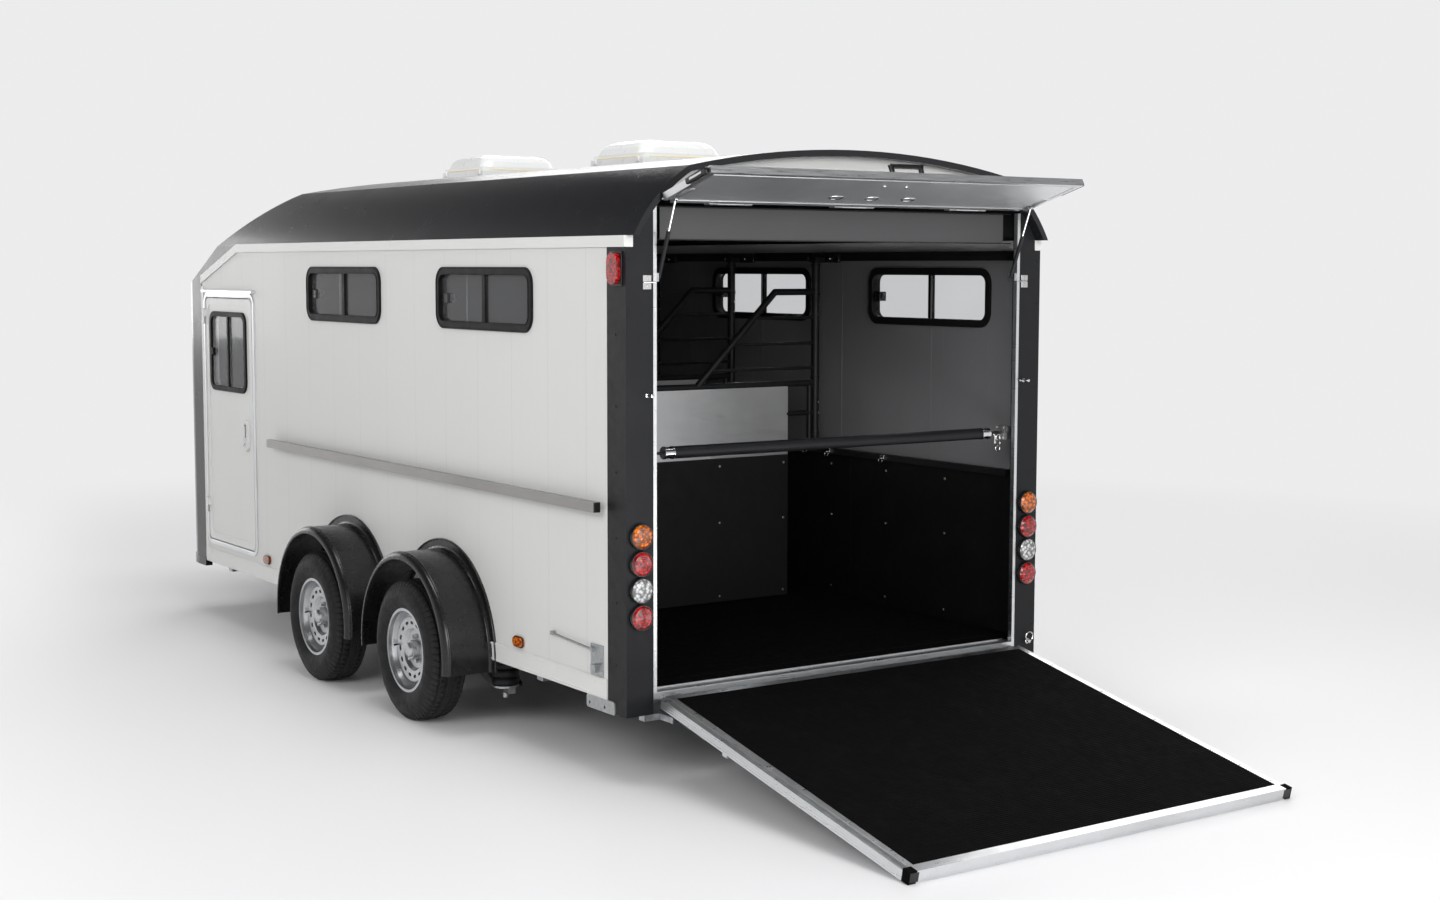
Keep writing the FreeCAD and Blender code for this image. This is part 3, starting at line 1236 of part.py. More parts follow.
def jockey_clamp():
    """The arm, collar and outer tube that hold the jockey wheel, with its crank."""
    x, y = jockey_x, jockey_y
    z0 = jockey_fork_top + jockey_lift + jockey_head_room
    top = jockey_tube_top + jockey_lift + jockey_head_room
    z1, edge = z0 + clamp_h, -bar_apex_y
    arm = box(bar_front_x - clamp_back, x + 2 * clamp_half, edge, edge + clamp_arm_t, z0, z1)
    pad = box(bar_front_x - clamp_back, bar_front_x,
              edge + clamp_arm_t - overlap, -housing_half + overlap, z0, z1)
    link = box(x - clamp_half, x + clamp_half, y, edge + clamp_arm_t - overlap, z0, z1)
    collar = Part.makeCylinder(jockey_outer_r + clamp_wall, clamp_h, V(x, y, z0), Z_AXIS)
    sleeve = Part.makeCylinder(jockey_outer_r, top - z0, V(x, y, z0), Z_AXIS)
    bore = Part.makeCylinder(jockey_inner_r + pin_play, top - z0 + overlap, V(x, y, z0 - overlap), Z_AXIS)
    holder = fused([arm, pad, link, collar, sleeve]).cut(bore)
    head = Part.makeCylinder(crank_head_r, crank_head_h, V(x, y, top), Z_AXIS)
    grip_x = x + crank_arm - crank_grip_in
    crank = [
        rod((x, y, top + crank_head_h - overlap), (x, y, top + crank_rise), crank_shaft_r),
        rod((x, y, top + crank_z), (x + crank_arm, y, top + crank_z), crank_arm_r),
        rod((grip_x, y, top + crank_z), (grip_x, y, top + crank_grip_top), crank_grip_r),
    ]
    return fused([holder, head] + crank)


def overrun_housing():
    """Housing on the drawbar with its bellows and shaft, the parking brake lever and the jockey clamp."""
    z, x1, h = coupling_z, bar_front_x, housing_half
    low = z - housing_h / 2
    body = box(x1 - housing_back, x1 + housing_front, -h, h, low, low + housing_h)
    shaft = rod((x1, 0.0, z), (coupling_x - neck_len, 0.0, z), shaft_r)
    start = x1 + housing_front
    prof = [(start, 0.0, z), (start, 0.0, z + bellows_waist_r)]
    for i in range(bellows_folds):
        x = start + i * bellows_pitch
        crest = (x + bellows_pitch / 2, 0.0, z + bellows_r)
        prof.append((crest, (x + bellows_pitch, 0.0, z + bellows_waist_r)))
    prof.append((start + bellows_folds * bellows_pitch, 0.0, z))
    bellows = Part.Face(wire(prof)).revolve(V(0, 0, z), X_AXIS, 360.0)
    (gx0, gz0), (gx1, gz1) = lever_grip
    mid = h + lever_t / 2
    lever = fused([
        box(x1 + lever_foot[0], x1 + lever_foot[1], h, h + lever_t,
            low + lever_foot_z[0], low + lever_foot_z[1]),
        slab([(x1 + dx, h + overlap, low + dz) for dx, dz in lever_line], (0, lever_blade_t, 0)),
        rod((x1 + gx0, mid, low + gz0), (x1 + gx1, mid, low + gz1), lever_grip_r),
    ])
    return fused([body, shaft, bellows, lever, jockey_clamp()])


def coupling_head():
    """A ball coupling: rounded shell open below, neck, and the lifting grip."""
    x, z = coupling_x, coupling_z
    reach = 2 * head_r
    cutter = box(x - reach, x + reach, -reach, reach, z - reach, z - head_cut)
    shell = Part.makeSphere(head_r, V(x, 0, z)).cut(cutter)
    neck = box(x - neck_len, x - neck_end, -neck_half, neck_half, z - neck_low, z + neck_high)
    px0, px1, pz0, pz1 = grip_post
    post = box(x + px0, x + px1, -grip_post_half, grip_post_half, z + pz0, z + pz1)
    grip = slab([(x + dx, -grip_half_w, z + dz) for dx, dz in grip_line], (0, 2 * grip_half_w, 0))
    head = fused([shell, neck, post, grip])
    socket = ball_r + ball_play
    return head.cut(Part.makeSphere(socket, V(x, 0, z))).cut(Part.makeCylinder(socket, z, V(x, 0, 0), Z_AXIS))


def jockey_tube():
    foot = jockey_fork_top + side_play
    return rod((jockey_x, jockey_y, foot), (jockey_x, jockey_y, jockey_tube_top), jockey_inner_r)


def jockey_fork():
    x, z, top, y = jockey_x - jockey_trail, jockey_wheel_r, jockey_fork_top, jockey_y
    inner = jockey_wheel_w / 2 + fork_side_gap
    outer = inner + fork_blade_t
    parts = [box(x - fork_back, jockey_x + fork_front, y - outer, y + outer, top - fork_plate_t, top)]
    for s in (-1, 1):
        y0, y1 = sorted((y + s * inner, y + s * outer))
        parts.append(slab([
            (x - fork_front, y0, top - overlap), (jockey_x + clamp_half, y0, top - overlap),
            (x + fork_foot_half, y0, z - fork_foot_half), (x - fork_foot_half, y0, z - fork_foot_half),
        ], (0, y1 - y0, 0)))
    parts.append(rod((x, y - outer, z), (x, y + outer, z), jockey_pin_r))
    return fused(parts)


def jockey_wheel():
    x, w, r = jockey_x - jockey_trail, jockey_wheel_w / 2, jockey_wheel_r
    c, web = jockey_chamfer, jockey_web_in
    half = [
        (w + jockey_hub_out, jockey_bore_r), (w + jockey_hub_out, jockey_hub_r),
        (w - web, jockey_hub_r + fork_side_gap),
        (w - web, jockey_web_r), (w, jockey_tread_r), (w, r - c), (w - c, r),
    ]
    prof = [(x, -b, z) for b, z in half] + [(x, b, z) for b, z in half[::-1]]
    wheel = Part.Face(wire(prof)).revolve(V(x, 0, 0), Y_AXIS, 360.0)
    wheel.translate(V(0, jockey_y, r))
    return wheel


# Lamps, tie rail, brackets and roof hatches


def lamps(colour):
    """Round rear lamps of one colour, with the red side lamps or the amber sill markers."""
    parts = []
    seat = lamp_depth - lamp_crown
    for z, name in lamp_rows:
        if name == colour:
            for s in (-1, 1):
                body = Part.makeCylinder(lamp_r, seat, V(0, s * lamp_y, z), V(-1, 0, 0))
                crown = Part.makeCone(lamp_r - lamp_edge, lamp_r - lamp_slope, lamp_crown,
                                      V(-seat, s * lamp_y, z), V(-1, 0, 0))
                parts.append(fused([body, crown]))
    if colour == "red":
        lens = rounded(*side_lamp, side_lamp_r, body_half, body_half + side_lamp_proud)
        parts += [lens, mirrored(lens)]
    if colour == "amber":
        for x in marker_x:
            lens = rounded(x - marker_half, x + marker_half, marker_z0, marker_z1, marker_r, body_half,
                           body_half + marker_proud)
            parts += [lens, mirrored(lens)]
    return Part.makeCompound(parts)


def tie_rails():
    """The box rail outside the left wall, open at its ends, on four feet."""
    x0, x1, z0, z1 = tie_rail_x0, tie_rail_x1, tie_rail_z0, tie_rail_z1
    y0, w = body_half + tie_rail_out, tie_rail_wall
    y1 = y0 + tie_rail_deep
    tube = box(x0, x1, y0, y1, z0, z1).cut(box(x0 - overlap, x1 + overlap, y0 + w, y1 - w, z0 + w, z1 - w))
    parts = [tube]
    for x in tie_foot_x:
        parts.append(box(x - tie_foot_half, x + tie_foot_half, body_half, y0 + overlap / 2,
                         z0 + tie_foot_in, z1 - tie_foot_in))
    return fused(parts)


def bracket_plate():
    """White two-hole plate under the left sill."""
    y0, y1 = body_half, body_half + sill_proud
    plate = rounded(plate_x0, plate_x1, plate_z0, sill_bottom, plate_r, y0, y1)
    for x in plate_hole_x:
        plate = plate.cut(rod((x, y0 - overlap, plate_hole_z), (x, y1 + overlap, plate_hole_z), plate_hole_r))
    foot = box(plate_foot_x, plate_x1, y0 - plate_foot_in, y0 + overlap,
               sill_bottom - plate_foot_t, sill_bottom)
    return fused([plate, foot])


def ramp_catch():
    """Galvanised holdback on the rear of the left wall, with its rod and two guides."""
    y = body_half
    (rx0, rz0), (rx1, rz1) = catch_rod_from, catch_rod_to
    hx0, hx1, hz0, hz1, hook = catch_hook
    out = catch_rod_out + catch_rod_r
    guides = [box(x - catch_guide, x + catch_guide, y, y + out, z - catch_guide, z + catch_guide)
              for x, z in ((rx0, rz0), (rx1, rz1))]
    return fused([
        box(catch_x0, catch_x1, y, y + catch_t, catch_z0, catch_z1),
        box(hx0, hx1, y + catch_t - overlap, y + hook, hz0, hz1),
        rod((rx0, y + catch_rod_out, rz0), (rx1, y + catch_rod_out, rz1), catch_rod_r),
    ] + guides)


def hatch_bases():
    """Square collars on the roof, open through their middles."""
    frames = []
    h, o, inner = hatch_hole / 2, hatch_base / 2, hatch_hole / 2 - hatch_wall
    low, top = crown_z - hatch_under, hatch_base_top
    roof = roof_volume(0.0, low_cut)
    for x in hatch_x:
        frame = box(x - o, x + o, -o, o, low, top).cut(roof)
        neck = box(x - h, x + h, -h, h, low, top)
        hole = box(x - inner, x + inner, -inner, inner, low - overlap, top + overlap)
        frames.append(fused([frame, neck]).cut(hole))
    return Part.makeCompound(frames)


def dome(x, base, z0, z1):
    """A square dome with round corners, steep at its foot and flatter towards its top."""
    def square(side, z):
        a, r = side / 2, hatch_corner
        k = r * (1 - math.sqrt(0.5))
        return wire([
            (x - a + r, -a, z), (x + a - r, -a, z), ((x + a - k, -a + k, z), (x + a, -a + r, z)),
            (x + a, a - r, z), ((x + a - k, a - k, z), (x + a - r, a, z)),
            (x - a + r, a, z), ((x - a + k, a - k, z), (x - a, a - r, z)),
            (x - a, -a + r, z), ((x - a + k, -a + k, z), (x - a + r, -a, z)),
        ])
    rise = z1 - z0
    return Part.makeLoft([square(base - inward, z0 + up * rise) for up, inward in hatch_form], True, True)


def hatch_lid_solid(x):
    """A pressed dome on a square skirt, hollow from below."""
    z0, half, wall = hatch_base_top + side_play, hatch_lid / 2, hatch_lid_wall
    z1 = z0 + hatch_skirt
    inner = half - wall
    skirt = box(x - half, x + half, -half, half, z0, z1)
    solid = fused([skirt, dome(x, hatch_lid, z1, hatch_lid_top)])
    hollow = dome(x, 2 * inner, z1, hatch_lid_top - wall)
    pocket = box(x - inner, x + inner, -inner, inner, z0, z1 + overlap / 2)
    return solid.cut(hollow).cut(pocket)


# Assembly


def build():
    made["chassis_frame"] = chassis_frame()
    made["drawbar"] = drawbar()
    made["overrun_housing"] = overrun_housing()
    made["coupling_head"] = coupling_head()
    made["axles"] = axles()
    made["suspension_units"] = Part.makeCompound([spring_units(), dampers()])
    made["floor_deck"] = floor_deck()
    made["side_wall_left"] = side_wall(1)
    made["side_wall_right"] = side_wall(-1)
    made["front_nose"] = front_nose()
    made["roof_shell"] = roof_shell()
    made["rear_gable"] = rear_gable()
    made["rear_posts"] = rear_posts()
    made["opening_trim"] = opening_trim()
    made["side_rails"] = Part.makeCompound([sills(), eave_rails()])
    made["mudguards"] = mudguards()
    made["window_frames"] = window_frames()
    made["window_panes"] = window_panes()
    for colour in ("red", "amber", "clear"):
        made["lamps_" + colour] = lamps(colour)
    made["tie_rail"] = tie_rails()
    made["door_frame"] = door_frame()
    made["kick_panels"] = kick_panels()
    made["stall_fittings"] = Part.makeCompound([inner_rails(), gate_wings()])
    made["bulkhead"] = bulkhead()
    made["hatch_bases"] = hatch_bases()
    flap_pins, ramp_pins = strut_pins()
    made["rear_hardware"] = Part.makeCompound(
        [hinge_lugs(), flap_pins, ramp_pins, bar_brackets(), bracket_plate(), ramp_catch()])
    for i, x in enumerate(gate_x, 1):
        made["gate_%d" % i] = gate(x)
    made["rump_bar"] = rump_bar()
    for place, x in (("rear", axle_x[0]), ("front", axle_x[1])):
        for name, side in (("left", 1), ("right", -1)):
            made["tyre_%s_%s" % (place, name)] = tyre(x, side)
            made["rim_%s_%s" % (place, name)] = rim(x, side)
    made["ramp_panel"] = ramp_panel()
    made["ramp_rubber"] = Part.makeCompound([ramp_mat(), ramp_caps()])
    made["ramp_frame"] = ramp_frame()
    made["flap_panel"] = flap_panel()
    made["flap_frame"] = flap_frame()
    for name, s in (("left", 1), ("right", -1)):
        body, shaft = strut(flap_foot, flap_eye(False), s * flap_strut_y,
                            flap_strut_r, flap_shaft_r, flap_strut_len,
                            flap_eye_w)
        made["flap_cylinder_" + name], made["flap_rod_" + name] = body, shaft
        body, shaft = strut(ramp_foot_pin, ramp_eye(False), s * ramp_strut_y,
                            ramp_strut_r, ramp_shaft_r, ramp_strut_len,
                            ramp_eye_w)
        made["ramp_cylinder_" + name], made["ramp_rod_" + name] = body, shaft
    made["door_leaf"] = door_leaf()
    made["door_pane"] = door_pane()
    for place, x in (("rear", hatch_x[0]), ("front", hatch_x[1])):
        made["hatch_lid_" + place] = hatch_lid_solid(x)
    made["jockey_tube"] = jockey_tube()
    made["jockey_fork"] = jockey_fork()
    made["jockey_wheel"] = jockey_wheel()


def middle_x():
    whole = Part.makeCompound(list(made.values())).BoundBox
    return (whole.XMin + whole.XMax) / 2


build()
shift_x = -middle_x()
os.makedirs("parts", exist_ok=True)
for node, shape in made.items():
    moved = shape.copy()
    moved.translate(V(shift_x, 0, 0))
    moved.exportStep("parts/%s.step" % node)
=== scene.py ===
"""Horse trailer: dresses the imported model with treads, lamps, mats, fixings and finishes."""

import json
import math

import bmesh
import bpy
import numpy as np
from mathutils import Matrix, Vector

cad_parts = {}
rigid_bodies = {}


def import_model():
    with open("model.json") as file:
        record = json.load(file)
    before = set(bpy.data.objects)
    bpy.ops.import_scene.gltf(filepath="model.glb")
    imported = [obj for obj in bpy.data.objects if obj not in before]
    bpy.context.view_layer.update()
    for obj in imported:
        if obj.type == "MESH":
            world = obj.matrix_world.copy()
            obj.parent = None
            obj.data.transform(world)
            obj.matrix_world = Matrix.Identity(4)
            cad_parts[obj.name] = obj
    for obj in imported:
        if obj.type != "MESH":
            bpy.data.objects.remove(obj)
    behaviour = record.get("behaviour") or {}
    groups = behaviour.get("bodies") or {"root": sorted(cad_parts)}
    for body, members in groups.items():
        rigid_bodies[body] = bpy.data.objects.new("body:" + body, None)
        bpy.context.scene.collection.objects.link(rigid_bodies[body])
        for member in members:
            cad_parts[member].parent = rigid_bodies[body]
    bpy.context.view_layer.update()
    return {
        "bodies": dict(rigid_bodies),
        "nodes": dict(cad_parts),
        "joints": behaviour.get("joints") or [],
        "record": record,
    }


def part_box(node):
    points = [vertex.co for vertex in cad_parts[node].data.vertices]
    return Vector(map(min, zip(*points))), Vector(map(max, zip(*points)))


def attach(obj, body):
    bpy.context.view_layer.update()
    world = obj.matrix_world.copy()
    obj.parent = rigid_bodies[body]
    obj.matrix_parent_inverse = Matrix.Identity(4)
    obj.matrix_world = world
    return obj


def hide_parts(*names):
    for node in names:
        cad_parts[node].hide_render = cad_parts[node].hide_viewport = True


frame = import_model()

bl_info = {
    "name": "Horse Trailer",
    "version": (1, 0, 0),
    "blender": (4, 5, 0),
    "location": "View3D > Sidebar > Trailer",
    "description": "Dresses a twin-axle horse trailer",
    "category": "Object",
}

NODES = frame["nodes"]
JOINTS = {joint["name"]: joint for joint in frame["joints"]}
REAR = float(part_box("rear_posts")[0][0])
HALF = float(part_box("side_wall_left")[1][1])
RAMP_DOWN = math.radians(JOINTS["ramp_hinge"]["range_deg"][1])
FLAP_UP = math.radians(JOINTS["flap_hinge"]["range_deg"][1])
RAMP_PIVOT = np.array(JOINTS["ramp_hinge"]["pos_m"])
FLAP_PIVOT = np.array(JOINTS["flap_hinge"]["pos_m"])
TAU = 2 * math.pi
SIDES = (("left", 1.0), ("right", -1.0))

# Metres from the middle of the rear face, forwards, to the left and up from the ground
GATE_X = (1.445, 2.165, 2.885)
GATE_HINGE_Y = -0.935
GATE_HALF = 0.0098
SHEET_Y = (-0.762, 0.392)
RUMP_X, RUMP_Z = 0.080, 1.262
LAMP_Y, LAMP_RADIUS = 0.989, 0.049
LATCH_Z, CLIP_Z = 1.492, 1.9165
WHEEL_X = (("rear", 1.510), ("front", 2.510))
BEAD_SEAT = 0.1785

# Colour of the background that the camera, mirrors and panes see
PALE = (0.84, 0.84, 0.85, 1.0)
PHOTO_WIDTH = 1440.0
CAMERA_AT = (-6.231, 4.909, 1.971)


# Values a user would change


class TyreSizes(bpy.types.PropertyGroup):
    groove_depth: bpy.props.FloatProperty(
        name="Groove depth", description="Depth of the tread grooves", default=0.0075, unit="LENGTH")
    groove_width: bpy.props.FloatProperty(
        name="Groove width", description="Width of the grooves that run round the tyre",
        default=0.0085, unit="LENGTH")
    sipes: bpy.props.IntProperty(
        name="Tread blocks", description="Number of blocks round the tyre", default=66)


class LampSizes(bpy.types.PropertyGroup):
    bezel: bpy.props.FloatProperty(
        name="Rim width", description="Width of the black rim round each lamp", default=0.004, unit="LENGTH")
    rings: bpy.props.IntProperty(
        name="Lens rings", description="Number of pressed rings in each lens", default=5)


class RampSizes(bpy.types.PropertyGroup):
    rib_pitch: bpy.props.FloatProperty(
        name="Rib pitch", description="Distance between the ribs of the ramp mat",
        default=0.012, unit="LENGTH")
    rib_height: bpy.props.FloatProperty(
        name="Rib height", description="Height of the ribs of the ramp mat", default=0.0016, unit="LENGTH")


class Finishes(bpy.types.PropertyGroup):
    panel: bpy.props.FloatVectorProperty(
        name="Panels", description="Colour of the side panels and rails", subtype="COLOR",
        default=(0.63, 0.63, 0.618))
    dark: bpy.props.FloatVectorProperty(
        name="Roof and posts", description="Colour of the roof, nose and posts", subtype="COLOR",
        default=(0.010, 0.0105, 0.012))
    lining: bpy.props.FloatVectorProperty(
        name="Lining", description="Colour of the inner walls", subtype="COLOR",
        default=(0.175, 0.176, 0.182))
    rubber: bpy.props.FloatVectorProperty(
        name="Rubber", description="Colour of mats and tyres", subtype="COLOR",
        default=(0.0030, 0.0030, 0.0030))


GROUPS = (
    ("trailer_tyres", TyreSizes),
    ("trailer_lamps", LampSizes),
    ("trailer_ramp", RampSizes),
    ("trailer_finishes", Finishes),
)


def settings(group):
    """One of the groups of values that a user would change."""
    return getattr(bpy.context.scene, group)


# Meshes


def place(x, y, z):
    """A point measured from the middle of the rear face, on the ground."""
    return np.array([REAR + x, y, z])


def mesh_piece(name, vertices, faces, material, body):
    """A closed piece from points and faces, with poles and seams merged and its faces turned outwards."""
    mesh = bpy.data.meshes.new(name)
    mesh.from_pydata(np.asarray(vertices, float).tolist(), [], [list(map(int, f)) for f in faces])
    work = bmesh.new()
    work.from_mesh(mesh)
    bmesh.ops.remove_doubles(work, verts=work.verts, dist=1e-6)
    bmesh.ops.dissolve_degenerate(work, edges=work.edges, dist=1e-7)
    bmesh.ops.recalc_face_normals(work, faces=work.faces)
    work.to_mesh(mesh)
    work.free()
    mesh.update()
    piece = bpy.data.objects.new(name, mesh)
    bpy.context.scene.collection.objects.link(piece)
    mesh.materials.append(material)
    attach(piece, body)
    return piece


def add(name, part, key, body="trailer", angle=35.0, bevel=0.0, moved=False):
    """A piece from one part or a list of parts, given from the rear face unless moved already."""
    points, faces = joined(part) if isinstance(part, list) else part
    points = np.array(points, float)
    if not moved:
        points[:, 0] += REAR
    piece = mesh_piece(name, points, faces, paint(key), body)
    smooth_by_angle(piece, angle)
    if bevel:
        bevelled(piece, bevel)
    return piece


def bevelled(piece, width, segments=2, angle=35.0):
    """Rounds the edges of a piece that turn by more than an angle."""
    edge = piece.modifiers.new("edges", "BEVEL")
    edge.width = width
    edge.segments = segments
    edge.limit_method = "ANGLE"
    edge.angle_limit = math.radians(angle)


def smooth_by_angle(piece, degrees=35.0):
    """Shades smooth, with sharp edges where two faces turn by more than an angle."""
    mesh = piece.data
    mesh.polygons.foreach_set("use_smooth", np.ones(len(mesh.polygons), bool))
    mesh.set_sharp_from_angle(angle=math.radians(degrees))


def grid_faces(rows, columns, wrap_rows, wrap_columns):
    """Quads between neighbours of a grid of points; a wrapped way joins its end to its start."""
    i = np.arange(rows if wrap_rows else rows - 1)[:, None]
    j = np.arange(columns if wrap_columns else columns - 1)[None, :]
    i2, j2 = (i + 1) % rows, (j + 1) % columns
    quads = np.stack([i * columns + j, i2 * columns + j, i2 * columns + j2, i * columns + j2], -1)
    return quads.reshape(-1, 4)


def square_to(axis):
    """Two directions square to a unit axis and to each other."""
    side = np.cross(axis, [0.0, 0.0, 1.0])
    side = np.array([1.0, 0.0, 0.0]) if np.linalg.norm(side) < 0.1 else side / np.linalg.norm(side)
    return side, np.cross(axis, side)


def full_turn(count):
    """Evenly spaced angles round a circle, from 0."""
    return TAU * np.arange(count) / count


def turned(profile, centre, axis, count=48):
    """A (radius, height) profile turned about an axis: centre + height * axis + radius * (cos a, sin a)."""
    profile = np.asarray(profile, float)
    axis = np.asarray(axis, float) / np.linalg.norm(axis)
    side, up = square_to(axis)
    a = full_turn(count)
    rim = np.cos(a)[:, None, None] * side + np.sin(a)[:, None, None] * up
    points = np.asarray(centre) + profile[None, :, 1, None] * axis + profile[None, :, 0, None] * rim
    return points.reshape(-1, 3), grid_faces(count, len(profile), True, True)


def swept(path, radius, count=10, closed=False):
    """A round tube along a path: each ring is path + radius * (cos a * n + sin a * b), with n and b square
    to the path."""
    path = np.asarray(path, float)
    if closed:
        along = np.roll(path, -1, 0) - np.roll(path, 1, 0)
    else:
        along = np.gradient(path, axis=0)
    along /= np.linalg.norm(along, axis=1, keepdims=True)
    spread = np.ptp(path, axis=0)
    flat = np.eye(3)[np.argmin(spread + np.abs(along).mean(0) * 1e-3)]
    n = np.cross(along, flat)
    n /= np.linalg.norm(n, axis=1, keepdims=True)
    b = np.cross(along, n)
    a = full_turn(count)
    ring = np.cos(a)[None, :, None] * n[:, None] + np.sin(a)[None, :, None] * b[:, None]
    rings = path[:, None] + radius * ring
    faces = [list(f) for f in grid_faces(len(path), count, closed, True)]
    if not closed:
        faces.append(list(range(count)))
        faces.append([(len(path) - 1) * count + i for i in reversed(range(count))])
    return rings.reshape(-1, 3), faces


def prism(outline, low, high):
    """An upright outline of (x, z) carried from low to high in Y, with its two ends closed."""
    outline = np.asarray(outline, float)
    n = len(outline)
    points = np.zeros((2 * n, 3))
    points[:n, 0] = points[n:, 0] = outline[:, 0]
    points[:n, 2] = points[n:, 2] = outline[:, 1]
    points[:n, 1], points[n:, 1] = low, high
    faces = [[i, (i + 1) % n, n + (i + 1) % n, n + i] for i in range(n)]
    faces += [list(reversed(range(n))), list(range(n, 2 * n))]
    return points, faces


def rounded_outline(w, h, r, steps=6):
    """Points round a rectangle of w by h about the middle, with corners of radius r."""
    a = np.linspace(0.0, math.pi / 2, steps)
    corners = []
    for k, (sx, sy) in enumerate(((1, 1), (-1, 1), (-1, -1), (1, -1))):
        b = a + k * math.pi / 2
        corners.append(np.stack([sx * (w / 2 - r) + r * np.cos(b), sy * (h / 2 - r) + r * np.sin(b)], -1))
    return np.concatenate(corners)


def block(x0, x1, y0, y1, z0, z1):
    """The eight corners and six faces of an upright block."""
    points = np.array([[x, y, z] for x in (x0, x1) for y in (y0, y1) for z in (z0, z1)])
    return points, [[0, 1, 3, 2], [4, 6, 7, 5], [0, 4, 5, 1], [2, 3, 7, 6], [0, 2, 6, 4], [1, 5, 7, 3]]


def outline_at(shape, x, y, z):
    """An outline of (across, up) stood in a side wall: point = (x + across, y, z + up)."""
    return np.stack([x + shape[:, 0], np.full(len(shape), y), z + shape[:, 1]], -1)


def spots_at(x, across, heights):
    """Points in a plane of one x: each place across at each height in turn."""
    return np.stack([np.full(len(across) * len(heights), x), np.tile(across, len(heights)),
                     np.repeat(heights, len(across))], -1)


def mapped(part, rule):
    """A part with its points moved by a rule and its faces as they were."""
    return rule(part[0]), part[1]


def band(outer, inner, middle, low, high):
    """A flat ring between two outlines of as many points, put at middle and carried from low to high in Y."""
    rows = [np.stack([middle[0] + line[:, 0], np.full(len(line), y), middle[1] + line[:, 1]], -1)
            for line, y in ((outer, low), (outer, high), (inner, high), (inner, low))]
    return np.stack(rows, 1).reshape(-1, 3), grid_faces(len(outer), 4, True, True)


def ring_path(centre, radius, axis, count=24):
    """Points round a circle: centre + radius * (cos a * side + sin a * up), square to a unit axis."""
    side, up = square_to(np.asarray(axis, float))
    a = full_turn(count)
    return np.asarray(centre) + radius * (np.cos(a)[:, None] * side + np.sin(a)[:, None] * up)


def bent(points, radius, steps=6):
    """A path through points, each inner corner rounded by a quadratic curve from radius before it to radius
    after it: (1 - t) squared * start + 2 t (1 - t) * corner + t squared * end."""
    points = [np.asarray(p, float) for p in points]
    out = [points[0][None]]
    t = np.linspace(0.0, 1.0, steps)[:, None]
    for before, here, after in zip(points[:-2], points[1:-1], points[2:]):
        a = here + radius * (before - here) / np.linalg.norm(before - here)
        b = here + radius * (after - here) / np.linalg.norm(after - here)
        out.append((1 - t) ** 2 * a + 2 * t * (1 - t) * here + t ** 2 * b)
    out.append(points[-1][None])
    return np.concatenate(out)


def joined(parts):
    """One list of points and faces from several."""
    points, faces, base = [], [], 0
    for p, f in parts:
        points.append(np.asarray(p))
        faces += [[int(i) + base for i in face] for face in f]
        base += len(p)
    return np.concatenate(points), faces


def copied(part, places):
    """A small shape repeated: every point plus every place, as one array."""
    points, faces = part
    points, places = np.asarray(points), np.asarray(places, float)
    n = len(points)
    many = (places[:, None] + points[None]).reshape(-1, 3)
    return many, [[int(i) + k * n for i in face] for k in range(len(places)) for face in faces]


def bolt_head(radius, height, axis):
    """A low domed head: its profile rises from the seat to a flat crown."""
    profile = [(0.0, 0.0), (radius, 0.0), (radius, height * 0.35), (radius * 0.8, height * 0.85),
               (radius * 0.4, height), (0.0, height)]
    return turned(profile, (0.0, 0.0, 0.0), axis, 12)


def on_ramp(points):
    """Points given as (along the ramp, across, above its plane) put on the lowered ramp."""
    p = np.asarray(points, float)
    c, s = math.cos(RAMP_DOWN), math.sin(RAMP_DOWN)
    out = np.empty_like(p)
    out[:, 0] = RAMP_PIVOT[0] - p[:, 0] * s + p[:, 2] * c
    out[:, 1] = p[:, 1]
    out[:, 2] = RAMP_PIVOT[2] + p[:, 0] * c + p[:, 2] * s
    return out


def on_flap(points):
    """Points given as (down the flap, across, towards the body) put on the raised flap."""
    p = np.asarray(points, float)
    c, s = math.cos(FLAP_UP), math.sin(FLAP_UP)
    out = np.empty_like(p)
    out[:, 0] = FLAP_PIVOT[0] - p[:, 0] * s + p[:, 2] * c
    out[:, 1] = p[:, 1]
    out[:, 2] = FLAP_PIVOT[2] - p[:, 0] * c - p[:, 2] * s
    return out


# Materials


